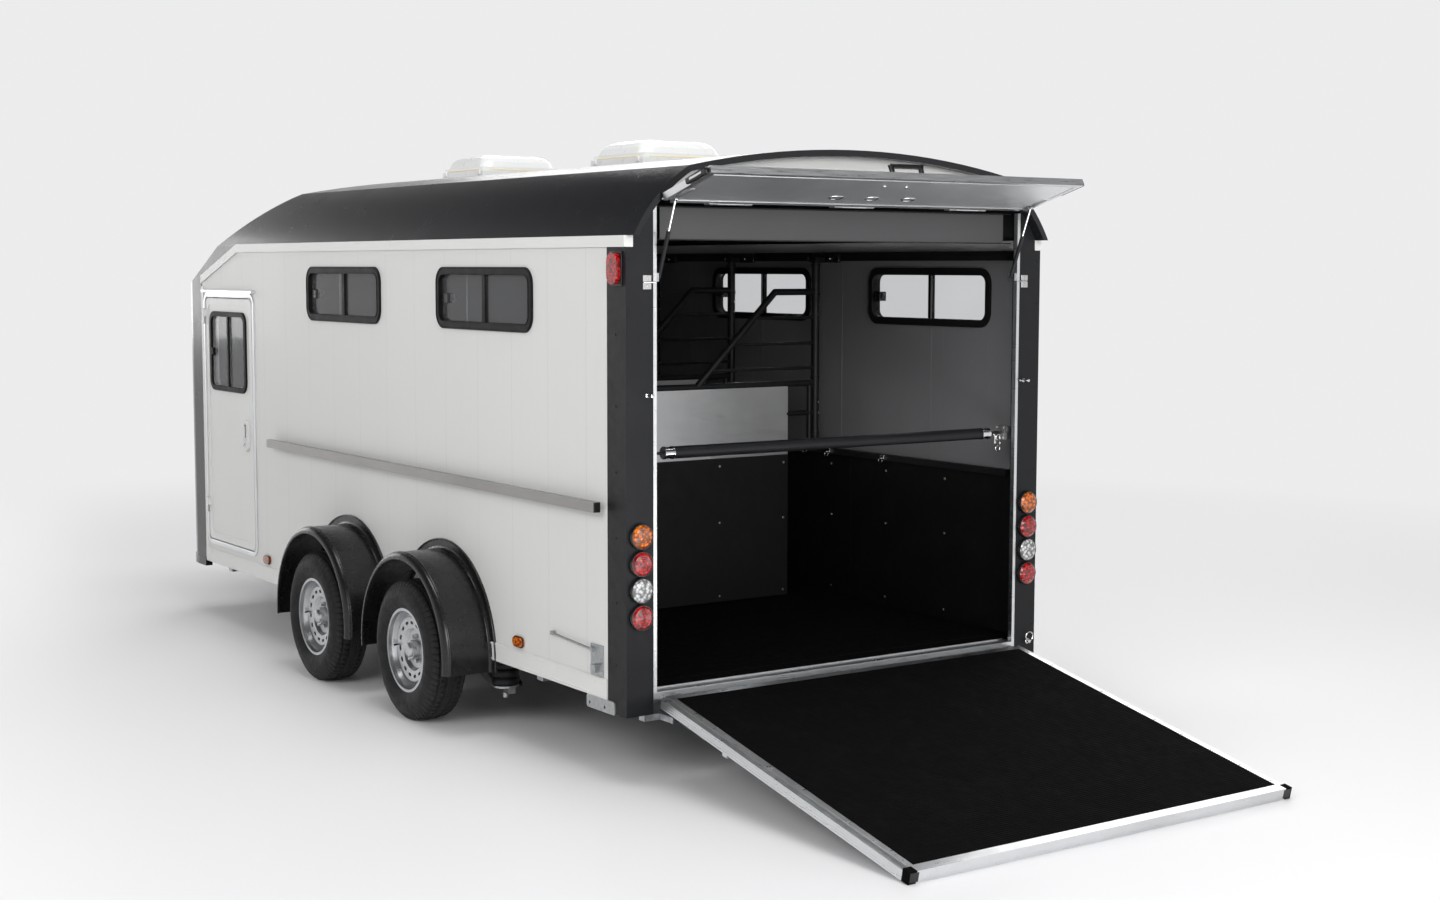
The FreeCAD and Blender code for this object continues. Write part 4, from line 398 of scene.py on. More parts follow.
class Paint:
    """Builds one node material on Object coordinates."""

    def __init__(self, name, colour, metallic=0.0, roughness=0.5, **sockets):
        self.material = bpy.data.materials.new(name)
        self.material.use_nodes = True
        self.tree = self.material.node_tree
        self.shader = self.tree.nodes["Principled BSDF"]
        self.shader.inputs["Base Color"].default_value = (*colour, 1.0)
        self.shader.inputs["Metallic"].default_value = metallic
        self.shader.inputs["Roughness"].default_value = roughness
        for socket, value in sockets.items():
            self.shader.inputs[socket.replace("_", " ")].default_value = value
        self.colour = None
        self.base = colour
        self.where = self.node("ShaderNodeTexCoord").outputs["Object"]

    def node(self, kind, **values):
        made = self.tree.nodes.new(kind)
        for key, value in values.items():
            setattr(made, key, value)
        return made

    def link(self, a, b):
        self.tree.links.new(a, b)

    def mapped(self, scale):
        made = self.node("ShaderNodeMapping")
        made.inputs["Scale"].default_value = scale
        self.link(self.where, made.inputs["Vector"])
        return made.outputs["Vector"]

    def noise(self, scale, detail=4.0, stretch=(1.0, 1.0, 1.0), rough=0.55):
        made = self.node("ShaderNodeTexNoise")
        made.inputs["Scale"].default_value = scale
        made.inputs["Detail"].default_value = detail
        made.inputs["Roughness"].default_value = rough
        self.link(self.mapped(stretch), made.inputs["Vector"])
        return made.outputs["Fac"]

    def cells(self, scale):
        made = self.node("ShaderNodeTexVoronoi")
        made.inputs["Scale"].default_value = scale
        self.link(self.where, made.inputs["Vector"])
        return made

    def axis(self, letter):
        made = self.node("ShaderNodeSeparateXYZ")
        self.link(self.where, made.inputs[0])
        return made.outputs[letter]

    def maths(self, operation, a, b=0.0):
        made = self.node("ShaderNodeMath", operation=operation)
        for i, value in enumerate((a, b)):
            if isinstance(value, (int, float)):
                made.inputs[i].default_value = value
            else:
                self.link(value, made.inputs[i])
        return made.outputs[0]

    def ranged(self, value, low, high, to_low=0.0, to_high=1.0, smooth=False):
        made = self.node("ShaderNodeMapRange", interpolation_type="SMOOTHSTEP" if smooth else "LINEAR")
        self.link(value, made.inputs["Value"])
        for key, number in (("From Min", low), ("From Max", high), ("To Min", to_low), ("To Max", to_high)):
            made.inputs[key].default_value = number
        return made.outputs["Result"]

    def groove(self, value, pitch, width):
        """1 on a line every pitch, falling to 0 at width from it."""
        wrapped = self.maths("PINGPONG", value, pitch / 2)
        return self.ranged(wrapped, 0.0, width, 1.0, 0.0, smooth=True)

    def tint(self, factor, colour):
        """Mixes a colour over what the base colour is so far."""
        mix = self.node("ShaderNodeMix", data_type="RGBA")
        self.link(factor, mix.inputs[0])
        if self.colour is None:
            mix.inputs[6].default_value = (*self.base, 1.0)
        else:
            self.link(self.colour, mix.inputs[6])
        mix.inputs[7].default_value = (*colour, 1.0)
        self.colour = mix.outputs[2]
        self.link(self.colour, self.shader.inputs["Base Color"])

    def roughen(self, factor, low, high):
        out = self.ranged(factor, 0.3, 0.7, low, high)
        self.link(out, self.shader.inputs["Roughness"])

    def bump(self, height, strength, distance=0.001):
        made = self.node("ShaderNodeBump")
        made.inputs["Strength"].default_value = strength
        made.inputs["Distance"].default_value = distance
        self.link(height, made.inputs["Height"])
        held = self.shader.inputs["Normal"]
        if held.is_linked:
            self.link(held.links[0].from_socket, made.inputs["Normal"])
        self.link(made.outputs["Normal"], held)


PAINTS = {}


def paint(name):
    """The material of one finish."""
    return PAINTS[name].material


def metal(name, colour, roughness, grain=(1.0, 1.0, 1.0), scale=300.0, spread=0.08):
    """A metal with fine lines drawn out by its grain, and soft darker patches."""
    made = Paint(name, colour, 1.0, roughness)
    lines = made.noise(scale, 3.0, grain)
    made.roughen(lines, roughness - spread, roughness + spread)
    made.bump(lines, 0.12, 0.0003)
    blotch = made.noise(3.0, 3.0)
    made.tint(made.ranged(blotch, 0.45, 0.75, 0.0, 0.35), tuple(c * 0.72 for c in colour))
    return made


def panel_paint(name, colour, pitch=0.3):
    """Boards with narrow upright joints, gloss outside and satin lining inside."""
    lining = tuple(settings("trailer_finishes").lining)
    made = Paint(name, colour, 0.0, 0.42, Coat_Weight=0.06, Specular_IOR_Level=0.35)
    across = made.maths("ABSOLUTE", made.axis("Y"))
    inside = made.ranged(across, HALF - 0.029, HALF - 0.027, 1.0, 0.0)
    line = made.groove(made.axis("X"), pitch, 0.0022)
    fine = made.groove(made.axis("X"), pitch / 4, 0.0014)
    drift = made.noise(1.3, 3.0, (1.0, 1.0, 0.35))
    made.tint(made.ranged(drift, 0.35, 0.8, 0.0, 0.12), tuple(c * 0.86 for c in colour))
    made.tint(made.maths("MULTIPLY", line, 0.28), tuple(c * 0.45 for c in colour))
    made.tint(made.maths("MULTIPLY", fine, 0.1), tuple(c * 0.55 for c in colour))
    made.tint(inside, lining)
    wear = made.noise(240.0, 2.0)
    made.roughen(wear, 0.36, 0.5)
    both = made.maths("ADD", line, made.maths("MULTIPLY", fine, 0.45))
    made.bump(made.maths("MULTIPLY", both, -1.0), 0.5, 0.0012)
    made.bump(made.noise(700.0, 2.0), 0.05, 0.0003)
    return made


def make_paints():
    """Every finish of the trailer, by its key."""
    f = settings("trailer_finishes")
    panel, dark, lining, rubber = (tuple(v) for v in (f.panel, f.dark, f.lining, f.rubber))
    PAINTS["panel"] = panel_paint("side_panel", panel)
    rail = Paint("rail_white", tuple(c * 1.04 for c in panel), 0.0, 0.4, Coat_Weight=0.1)
    rail.bump(rail.noise(500.0, 2.0), 0.06, 0.0003)
    rail.tint(rail.ranged(rail.noise(2.0, 3.0), 0.5, 0.8, 0.0, 0.15), tuple(c * 0.8 for c in panel))
    rail.roughen(rail.noise(60.0), 0.33, 0.47)
    PAINTS["rail"] = rail
    roof = Paint("roof_gelcoat", dark, 0.0, 0.24, Coat_Weight=0.15, Coat_Roughness=0.12,
                 Specular_IOR_Level=0.3)
    roof.bump(roof.noise(160.0, 2.0), 0.05, 0.0005)
    roof.bump(roof.noise(1.6, 2.0), 0.02, 0.002)
    roof.roughen(roof.noise(9.0), 0.20, 0.28)
    roof.tint(roof.ranged(roof.noise(900.0, 1.0), 0.62, 0.75, 0.0, 0.4), (0.022, 0.022, 0.025))
    PAINTS["roof"] = roof
    post = Paint("post_powder", tuple(c * 0.8 for c in dark), 0.0, 0.42, Specular_IOR_Level=0.25)
    post.bump(post.noise(900.0, 2.0), 0.18, 0.0004)
    post.roughen(post.noise(30.0), 0.36, 0.5)
    post.tint(post.ranged(post.noise(4.0), 0.5, 0.8, 0.0, 0.4), (0.018, 0.0185, 0.020))
    PAINTS["post"] = post
    plastic = Paint("black_moulding", (0.008, 0.008, 0.0085), 0.0, 0.27)
    plastic.bump(plastic.cells(650.0).outputs["Distance"], 0.10, 0.0004)
    plastic.roughen(plastic.noise(18.0), 0.22, 0.33)
    plastic.tint(plastic.ranged(plastic.noise(5.0), 0.5, 0.85, 0.0, 0.35), (0.018, 0.018, 0.0185))
    PAINTS["plastic"] = plastic
    frame = Paint("frame_black", (0.007, 0.007, 0.0075), 0.0, 0.5, Specular_IOR_Level=0.16)
    frame.bump(frame.noise(500.0, 2.0), 0.10, 0.0003)
    frame.roughen(frame.noise(18.0), 0.44, 0.58)
    frame.tint(frame.ranged(frame.noise(5.0), 0.5, 0.85, 0.0, 0.35), (0.012, 0.012, 0.0125))
    PAINTS["frame"] = frame
    galv = Paint("galvanised", (0.50, 0.515, 0.52), 1.0, 0.42)
    spangle = galv.cells(95.0)
    tone = galv.node("ShaderNodeSeparateColor")
    galv.link(spangle.outputs["Color"], tone.inputs[0])
    galv.tint(galv.ranged(tone.outputs[0], 0.0, 1.0, 0.0, 0.45), (0.30, 0.315, 0.325))
    galv.roughen(tone.outputs[1], 0.34, 0.52)
    galv.bump(galv.noise(60.0, 3.0), 0.12, 0.0006)
    PAINTS["galvanised"] = galv
    PAINTS["aluminium"] = metal("aluminium_profile", (0.76, 0.77, 0.78), 0.34, (0.04, 0.04, 1.0), 260.0)
    PAINTS["tie"] = metal("anodised_rail", (0.37, 0.36, 0.35), 0.36, (0.04, 1.0, 1.0), 260.0)
    PAINTS["brushed"] = metal("aluminium_sheet", (0.60, 0.605, 0.61), 0.40, (1.0, 0.03, 1.0), 420.0, 0.1)
    PAINTS["flap_sheet"] = metal("polished_sheet", (0.86, 0.87, 0.88), 0.46, (1.0, 0.03, 1.0), 300.0, 0.05)
    PAINTS["zinc"] = metal("zinc_plate", (0.64, 0.64, 0.63), 0.34, scale=120.0)
    PAINTS["chrome"] = metal("chrome_plate", (0.78, 0.78, 0.78), 0.09, scale=60.0, spread=0.04)
    PAINTS["rim"] = metal("silver_wheel_paint", (0.60, 0.61, 0.62), 0.33, scale=500.0)
    tyre = Paint("tyre_rubber", (0.0095, 0.0095, 0.010), 0.0, 0.62, Specular_IOR_Level=0.35)
    tyre.bump(tyre.noise(420.0, 3.0), 0.3, 0.0005)
    tyre.tint(tyre.ranged(tyre.noise(12.0, 5.0), 0.5, 0.8, 0.0, 0.4), (0.024, 0.023, 0.022))
    tyre.roughen(tyre.noise(40.0), 0.55, 0.75)
    PAINTS["tyre"] = tyre
    mat = Paint("mat_rubber", rubber, 0.0, 0.9, Specular_IOR_Level=0.05)
    mat.bump(mat.noise(300.0, 4.0), 0.4, 0.0008)
    mat.tint(mat.ranged(mat.noise(7.0, 6.0, rough=0.7), 0.5, 0.85, 0.0, 0.5), (0.008, 0.008, 0.008))
    mat.roughen(mat.noise(25.0), 0.82, 0.96)
    PAINTS["mat"] = mat
    kick = Paint("kick_board", (0.0045, 0.0045, 0.0048), 0.0, 0.55, Specular_IOR_Level=0.2)
    kick.bump(kick.cells(260.0).outputs["Distance"], 0.22, 0.0006)
    kick.tint(kick.ranged(kick.noise(6.0, 5.0), 0.5, 0.8, 0.0, 0.4), (0.011, 0.011, 0.0115))
    kick.roughen(kick.noise(14.0), 0.5, 0.68)
    PAINTS["kick"] = kick
    board = Paint("lining_board", lining, 0.0, 0.46)
    board.bump(board.noise(260.0, 2.0), 0.12, 0.0004)
    board.tint(board.ranged(board.noise(2.5, 4.0), 0.4, 0.8, 0.0, 0.3), tuple(c * 0.6 for c in lining))
    board.roughen(board.noise(20.0), 0.4, 0.55)
    PAINTS["board"] = board
    header = Paint("header_board", tuple(c * 0.28 for c in lining), 0.0, 0.46)
    header.bump(header.noise(260.0, 2.0), 0.12, 0.0004)
    header.tint(header.ranged(header.noise(2.5, 4.0), 0.4, 0.8, 0.0, 0.3), tuple(c * 0.18 for c in lining))
    PAINTS["header"] = header
    dome = Paint("hatch_white", (0.82, 0.82, 0.815), 0.0, 0.3, Coat_Weight=0.3, Subsurface_Weight=0.08)
    dome.bump(dome.noise(350.0, 2.0), 0.06, 0.0004)
    dome.tint(dome.ranged(dome.noise(5.0), 0.5, 0.8, 0.0, 0.2), (0.75, 0.75, 0.74))
    dome.roughen(dome.noise(30.0), 0.25, 0.4)
    PAINTS["dome"] = dome
    seal = Paint("hatch_seal", (0.78, 0.70, 0.50), 0.0, 0.6)
    seal.bump(seal.noise(200.0), 0.2, 0.0005)
    seal.tint(seal.noise(30.0), (0.66, 0.57, 0.38))
    PAINTS["seal"] = seal
    for name, colour, weight in (("red", (0.62, 0.006, 0.008), 0.15), ("amber", (0.90, 0.19, 0.002), 0.15),
                                 ("clear", (0.80, 0.81, 0.82), 0.2)):
        lens = Paint("lens_" + name, colour, 0.0, 0.12, Coat_Weight=0.8, Transmission_Weight=weight, IOR=1.5)
        lens.bump(lens.cells(190.0).outputs["Distance"], 0.35, 0.001)
        facets = lens.ranged(lens.cells(75.0).outputs["Distance"], 0.2, 0.65, 0.0, 0.9)
        lens.tint(facets, tuple(c * 0.12 for c in colour))
        PAINTS["lens_" + name] = lens
    glass = Paint("smoked_pane", (0.72, 0.73, 0.74), 0.0, 0.05, Transmission_Weight=0.96, IOR=1.2)
    glass.bump(glass.noise(3.0, 2.0), 0.03, 0.001)
    glass.roughen(glass.noise(8.0), 0.03, 0.09)
    PAINTS["glass"] = glass


NODE_PAINT = {
    "galvanised": "chassis_frame drawbar axles rear_hardware jockey_fork overrun_housing",
    "aluminium": "opening_trim ramp_frame flap_frame door_frame",
    "tie": "tie_rail",
    "zinc": "coupling_head jockey_tube",
    "panel": "side_wall_left side_wall_right",
    "rail": "side_rails door_leaf rear_gable",
    "roof": "roof_shell front_nose",
    "post": "rear_posts rump_bar gate_1 gate_2 gate_3 stall_fittings",
    "plastic": "mudguards",
    "frame": "window_frames",
    "glass": "window_panes door_pane",
    "lens_red": "lamps_red",
    "lens_amber": "lamps_amber",
    "lens_clear": "lamps_clear",
    "kick": "kick_panels ramp_panel",
    "mat": "ramp_rubber floor_deck jockey_wheel",
    "board": "bulkhead",
    "flap_sheet": "flap_panel",
    "dome": "hatch_bases hatch_lid_rear hatch_lid_front",
    "rim": "rim_rear_left rim_rear_right rim_front_left rim_front_right",
    "tyre": "tyre_rear_left tyre_rear_right tyre_front_left tyre_front_right",
    "chrome": "flap_rod_left flap_rod_right ramp_rod_left ramp_rod_right",
    "strut": "flap_cylinder_left flap_cylinder_right ramp_cylinder_left ramp_cylinder_right suspension_units",
}


class TRAILER_OT_finishes(bpy.types.Operator):
    """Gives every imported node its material"""
    bl_idname = "trailer.finishes"
    bl_label = "Finish the nodes"

    def execute(self, context):
        make_paints()
        PAINTS["strut"] = PAINTS["post"]
        left = set(NODES)
        for key, names in NODE_PAINT.items():
            for name in names.split():
                mesh = NODES[name].data
                mesh.materials.clear()
                mesh.materials.append(paint(key))
                left.discard(name)
        if left:
            raise RuntimeError("nodes with no finish: %s" % sorted(left))
        return {"FINISHED"}


# Tyres and wheels


def tyre_surface(outer, width, sizes):
    """Radius over the angle round the tyre and the distance across it: a crowned carcass less straight and
    slanted grooves, each groove a smooth step of its own depth."""
    edge, steps_per_block = 0.74, 6
    across = np.concatenate([np.linspace(-1.0, -edge, 8)[:-1], np.linspace(-edge, edge, 50),
                             np.linspace(edge, 1.0, 8)[1:]])
    around = full_turn(sizes.sipes * steps_per_block)
    crown_drop, shoulder_drop, shoulder, shoulder_run, tread_share = 0.004, 0.030, 0.72, 0.28, 0.86
    fall = np.clip((np.abs(across) - shoulder) / shoulder_run, 0, 1) ** 2.2
    crown = outer - crown_drop * across ** 2 - shoulder_drop * fall
    y = across * width / 2 * tread_share
    groove = np.zeros((len(around), len(across)))
    half = sizes.groove_width / 2
    for centre in (-0.052, -0.018, 0.018, 0.052):
        groove = np.maximum(groove, np.clip(1.6 - np.abs(y - centre) / half, 0, 1)[None, :])
    turns_per_metre, stagger, centre_rib, sipe_depth, sipe_end = 9.0, 0.5, 0.014, 0.8, 0.97
    slant = (around[:, None] * sizes.sipes / TAU + turns_per_metre * np.abs(y)[None, :]
             + stagger * (y > 0)[None, :])
    cut = np.clip((np.abs(slant % 1.0 - 0.5) * 2 - 0.74) * 9, 0, 1) * (np.abs(y) > centre_rib)[None, :]
    groove = np.maximum(groove, cut * sipe_depth * (np.abs(across) < sipe_end)[None, :])
    radius = crown[None, :] - sizes.groove_depth * groove
    return around, y, radius


def tyre_points(centre, side, inner, outer, width, sizes):
    """The tread grid closed by two bulged side walls and a flat bead: a side wall stands out by its bulge
    times a power of the sine of the way up it, with two thin ribs."""
    around, y, tread = tyre_surface(outer, width, sizes)
    t = np.linspace(0.0, 1.0, 17)
    edge = tread[:, -1].mean()
    wall_r = inner + (edge - inner) * t
    foot, rise, bulge, rib_height = 0.74, 0.12, 0.185, 0.0009
    wall_y = width / 2 * (foot + rise * t + bulge * np.sin(math.pi * t) ** 0.8)
    rib = rib_height * (np.exp(-((t - 0.22) / 0.02) ** 2) + np.exp(-((t - 0.62) / 0.03) ** 2))
    wall_y = np.minimum(wall_y + rib, width / 2 - 0.0001)
    wall_y[-1] = y[-1]
    columns_y = np.concatenate([-wall_y[:-1], y, wall_y[::-1][1:]])
    low = np.repeat(wall_r[None, :-1], len(around), 0)
    radius = np.concatenate([low, tread, np.repeat(wall_r[::-1][None, 1:], len(around), 0)], 1)
    points = np.empty((*radius.shape, 3))
    points[..., 0] = centre[0] + radius * np.cos(around)[:, None]
    points[..., 1] = centre[1] + side * columns_y[None, :]
    points[..., 2] = centre[2] + radius * np.sin(around)[:, None]
    return points.reshape(-1, 3), grid_faces(len(around), radius.shape[1], True, True)


class TRAILER_OT_tyres(bpy.types.Operator):
    """Makes the four treaded tyres in place of the plain ones"""
    bl_idname = "trailer.tyres"
    bl_label = "Tyres"

    def execute(self, context):
        sizes = settings("trailer_tyres")
        for place_name in ("rear", "front"):
            for side_name, side in SIDES:
                node = "tyre_%s_%s" % (place_name, side_name)
                low, high = (np.array(v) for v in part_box(node))
                centre = (low + high) / 2
                part = tyre_points(centre, side, BEAD_SEAT, (high[2] - low[2]) / 2, high[1] - low[1], sizes)
                piece = add("tread_%s_%s" % (place_name, side_name), part, "tyre",
                            "wheel_%s_%s" % (place_name, side_name), 40.0, moved=True)
                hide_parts(node)
        return {"FINISHED"}


class TRAILER_OT_wheel_fixings(bpy.types.Operator):
    """Adds the bolts, hub caps and valves of the four wheels"""
    bl_idname = "trailer.wheel_fixings"
    bl_label = "Wheel bolts and caps"

    def execute(self, context):
        for place_name in ("rear", "front"):
            for side_name, side in SIDES:
                low, high = (np.array(v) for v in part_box("rim_%s_%s" % (place_name, side_name)))
                mid = (low + high) / 2
                tyre_low, tyre_high = (np.array(v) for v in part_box("tyre_%s_%s" % (place_name, side_name)))
                face = (tyre_low[1] + tyre_high[1]) / 2 + side * 0.030
                axis = (0.0, side, 0.0)
                count, circle = 5, 0.056
                a = TAU * (np.arange(count) + 0.25) / count
                ring = np.stack([mid[0] + circle * np.cos(a), np.full(count, face - side * 0.0075),
                                 mid[2] + circle * np.sin(a)], -1)
                head = turned([(0.0, 0.0), (0.014, 0.0), (0.0125, 0.004), (0.0098, 0.005), (0.0095, 0.018),
                               (0.0078, 0.020), (0.0, 0.0205)], (0, 0, 0), axis, 6)
                bolts = copied(head, ring)
                cap = turned([(0.0, -0.012), (0.033, -0.012), (0.0335, 0.010), (0.031, 0.021), (0.024, 0.027),
                              (0.012, 0.0295), (0.0, 0.030)], (mid[0], face + side * 0.008, mid[2]), axis, 40)
                name = "%s_%s" % (place_name, side_name)
                body = "wheel_" + name
                add("wheel_bolts_" + name, bolts, "zinc", body, 30.0, moved=True)
                add("hub_cap_" + name, cap, "rim", body, 50.0, moved=True)
                stem = turned([(0.0, 0.0), (0.0042, 0.0), (0.0042, 0.02), (0.0035, 0.022), (0.0035, 0.03),
                               (0.0045, 0.031), (0.0045, 0.04), (0.0, 0.041)],
                              (mid[0] + 0.149, face - side * 0.006, mid[2]), (-0.35, side, 0.0), 16)
                add("valve_" + name, stem, "plastic", body, 40.0, moved=True)
        return {"FINISHED"}


# Lamps


class TRAILER_OT_lamps(bpy.types.Operator):
    """Adds the rims and inner rings of the lamps, the backs and ribs of the side lamps and the backs of the
    markers
    """
    bl_idname = "trailer.lamps"
    bl_label = "Lamp rims and rings"

    def execute(self, context):
        sizes = settings("trailer_lamps")
        r, w = LAMP_RADIUS, sizes.bezel
        steps = np.linspace(1.0, 0.0, 8 * sizes.rings + 1)
        wave = 0.0008 * np.abs(np.sin(math.pi * sizes.rings * steps)) + 0.0035 * (1 - steps ** 2)
        face = list(zip((r - 0.012) * steps, 0.0245 + wave)) + [(0.0, 0.0243), (r - 0.012, 0.0243)]
        edge = [(r - w, -0.0005), (r + 0.0005, -0.0005), (r + 0.0005, 0.0165), (r - 0.001, 0.0185),
                (r - w, 0.0185)]
        for z, kind in ((0.960, "amber"), (0.856, "red"), (0.754, "clear"), (0.651, "red")):
            for side_name, side in SIDES:
                centre = (0.0, side * LAMP_Y, z)
                name = "%s_%d" % (side_name, round(z * 1000))
                add("lamp_rim_" + name, turned(edge, centre, (-1, 0, 0), 56), "plastic", angle=40.0)
                add("lamp_lens_" + name, turned(face, centre, (-1, 0, 0), 48), "lens_" + kind, angle=60.0)
        for side_name, side in SIDES:
            back = [block(0.023, 0.107, side * 1.0500, side * 1.0560, 1.902, 2.033)]
            add("side_lamp_back_" + side_name, back, "plastic", bevel=0.002)
            z = np.linspace(1.925, 2.010, 8)
            lines = [block(0.040, 0.090, side * 1.0735, side * 1.0748, h, h + 0.0035) for h in z]
            add("side_lamp_ribs_" + side_name, lines, "lens_red", bevel=0.0005)
            for x in (0.834, 3.582):
                name = "%s_%d" % (side_name, round(x * 100))
                outline = rounded_outline(0.084, 0.048, 0.022, 8)
                plate = mapped(prism(outline, 1.0560, 1.0605), lambda p: p + (x, 0.0, 0.432))
                plate = (np.asarray(plate[0]) * (1.0, side, 1.0), plate[1])
                add("marker_back_" + name, plate, "plastic", bevel=0.001)
        return {"FINISHED"}


# Ramp and flap


def ramp_part(u0, u1, y0, y1, t0, t1):
    """A block given along, across and above the ramp."""
    return mapped(block(u0, u1, y0, y1, t0, t1), on_ramp)


def flap_part(u0, u1, y0, y1, t0, t1):
    """A block given down, across and towards the body from the flap."""
    return mapped(block(u0, u1, y0, y1, t0, t1), on_flap)


class TRAILER_OT_ramp_mat(bpy.types.Operator):
    """Adds the ribbed mat of the ramp"""
    bl_idname = "trailer.ramp_mat"
    bl_label = "Ramp mat"

    def execute(self, context):
        sizes = settings("trailer_ramp")
        u0, u1, half, top = 0.054, 1.473, 0.878, 0.0223
        steps = 6
        count = int((u1 - u0) / sizes.rib_pitch)
        u = np.linspace(u0, u1, count * steps + 1)
        phase = (np.arange(len(u)) % steps) / float(steps)
        rise = sizes.rib_height * np.clip(1.6 * np.sin(math.pi * phase) - 0.35, 0.0, 1.0)
        y = np.linspace(-half, half, 25)
        sway = 0.0006 * np.sin(9.0 * u)[:, None] * np.sin(5.0 * y)[None, :]
        grid = np.empty((len(u), len(y) + 2, 3))
        grid[:, 1:-1, 0] = u[:, None]
        grid[:, 1:-1, 1] = y[None, :]
        grid[:, 1:-1, 2] = top + rise[:, None] + np.abs(sway)
        grid[:, 0] = np.stack([u, np.full(len(u), -half), np.full(len(u), top - 0.002)], -1)
        grid[:, -1] = np.stack([u, np.full(len(u), half), np.full(len(u), top - 0.002)], -1)
        columns = len(y) + 2
        faces = grid_faces(len(u), columns, False, True).tolist()
        faces += [list(range(columns)), [(len(u) - 1) * columns + k for k in reversed(range(columns))]]
        add("ramp_mat_ribs", (on_ramp(grid.reshape(-1, 3)), faces), "mat", "ramp", 60.0, moved=True)
        return {"FINISHED"}


class TRAILER_OT_ramp_trim(bpy.types.Operator):
    """Adds the side lines, corner caps, screws, hooks and battens of the ramp"""
    bl_idname = "trailer.ramp_trim"
    bl_label = "Ramp trim"

    def execute(self, context):
        for side_name, side in SIDES:
            lines = [ramp_part(0.024, 1.479, side * 0.9275, side * 0.9289, t, t + 0.004)
                     for t in (-0.018, -0.008, 0.004)]
            lines.append(ramp_part(0.024, 1.479, side * 0.9045, side * 0.9065, 0.0215, 0.0228))
            add("ramp_side_lines_" + side_name, lines, "aluminium", "ramp", bevel=0.0006, moved=True)
            cap = ramp_part(1.4815, 1.5155, side * 0.8805, side * 0.9275, -0.0225, 0.0215)
            add("ramp_corner_cap_" + side_name, cap, "plastic", "ramp", bevel=0.006, moved=True)
            u = np.linspace(0.10, 1.44, 10)
            head = bolt_head(0.0052, 0.0022, (0, 0, 1))
            spots = np.stack([u, np.full(10, side * 0.8925), np.full(10, 0.0220)], -1)
            add("ramp_screws_" + side_name, mapped(copied(head, spots), on_ramp), "zinc", "ramp", moved=True)
            for u0 in (0.930, 1.230):
                y, foot, crown = side * 0.890, -0.022, -0.040
                corners = [(u0, y, foot), (u0, y, crown), (u0 + 0.028, y, crown), (u0 + 0.028, y, foot)]
                hook = swept(on_ramp(bent(corners, 0.007)), 0.0032)
                add("ramp_hook_%s_%d" % (side_name, u0 * 1000), hook, "zinc", "ramp", moved=True)
        u = np.array([0.30, 0.60, 0.90, 1.20])
        ribs = [ramp_part(k - 0.02, k + 0.02, -0.878, 0.878, -0.0235, -0.0185) for k in u]
        add("ramp_under_battens", ribs, "aluminium", "ramp", bevel=0.001, moved=True)
        return {"FINISHED"}


class TRAILER_OT_flap_trim(bpy.types.Operator):
    """Adds the recessed cups, bolts, edge lines, side catches, handle cover and rivets of the flap"""
    bl_idname = "trailer.flap_trim"
    bl_label = "Flap trim"

    def execute(self, context):
        t = 0.0042
        for i, y in enumerate((-0.186, 0.0, 0.178)):
            cup = turned([(0.0, -0.0035), (0.020, -0.0030), (0.027, 0.0), (0.0325, 0.0020), (0.035, 0.0012),
                          (0.036, -0.0006), (0.0, -0.0045)], (0.0, 0.0, 0.0), (0, 0, 1), 40)
            part = mapped(cup, lambda p: on_flap(p * (0.62, 1.0, 1.0) + (0.118, y, t)))
            add("flap_cup_%d" % i, part, "chrome", "flap", 50.0, moved=True)
        for i, y in enumerate((-0.055, 0.055)):
            head = bolt_head(0.0085, 0.005, (0, 0, 1))
            bolt = mapped(head, lambda p: on_flap(p + (0.268, y, t - 0.0003)))
            add("flap_bolt_%d" % i, bolt, "zinc", "flap", moved=True)
        rim = [flap_part(0.338, 0.3405, -0.90, 0.90, 0.0045, 0.0068),
               flap_part(0.0395, 0.042, -0.88, 0.88, 0.0045, 0.0068)]
        add("flap_rim_lines", rim, "aluminium", "flap", bevel=0.0006, moved=True)
        for side_name, side in SIDES:
            body = flap_part(0.215, 0.352, side * 0.9255, side * 0.9425, -0.0215, 0.0035)
            add("flap_catch_" + side_name, body, "plastic", "flap", bevel=0.0055, moved=True)
            slot = flap_part(0.245, 0.325, side * 0.9422, side * 0.9434, -0.0130, -0.0045)
            add("flap_catch_slot_" + side_name, slot, "chrome", "flap", bevel=0.001, moved=True)
        u0, u1, out = 0.3425, 0.3575, -0.0545
        grip = [flap_part(u0, u1, -0.0815, 0.0815, out, out + 0.013)]
        grip += [flap_part(u0, u1, y - 0.0085, y + 0.0085, out, -0.0225) for y in (-0.073, 0.073)]
        add("flap_grip", grip, "plastic", "flap", bevel=0.003, moved=True)
        y = np.linspace(-0.84, 0.84, 14)
        head = bolt_head(0.004, 0.0016, (0, 0, 1))
        spots = np.stack([np.full(14, 0.025), y, np.full(14, 0.0048)], -1)
        add("flap_rivets", mapped(copied(head, spots), on_flap), "zinc", "flap", moved=True)
        return {"FINISHED"}


# Inside


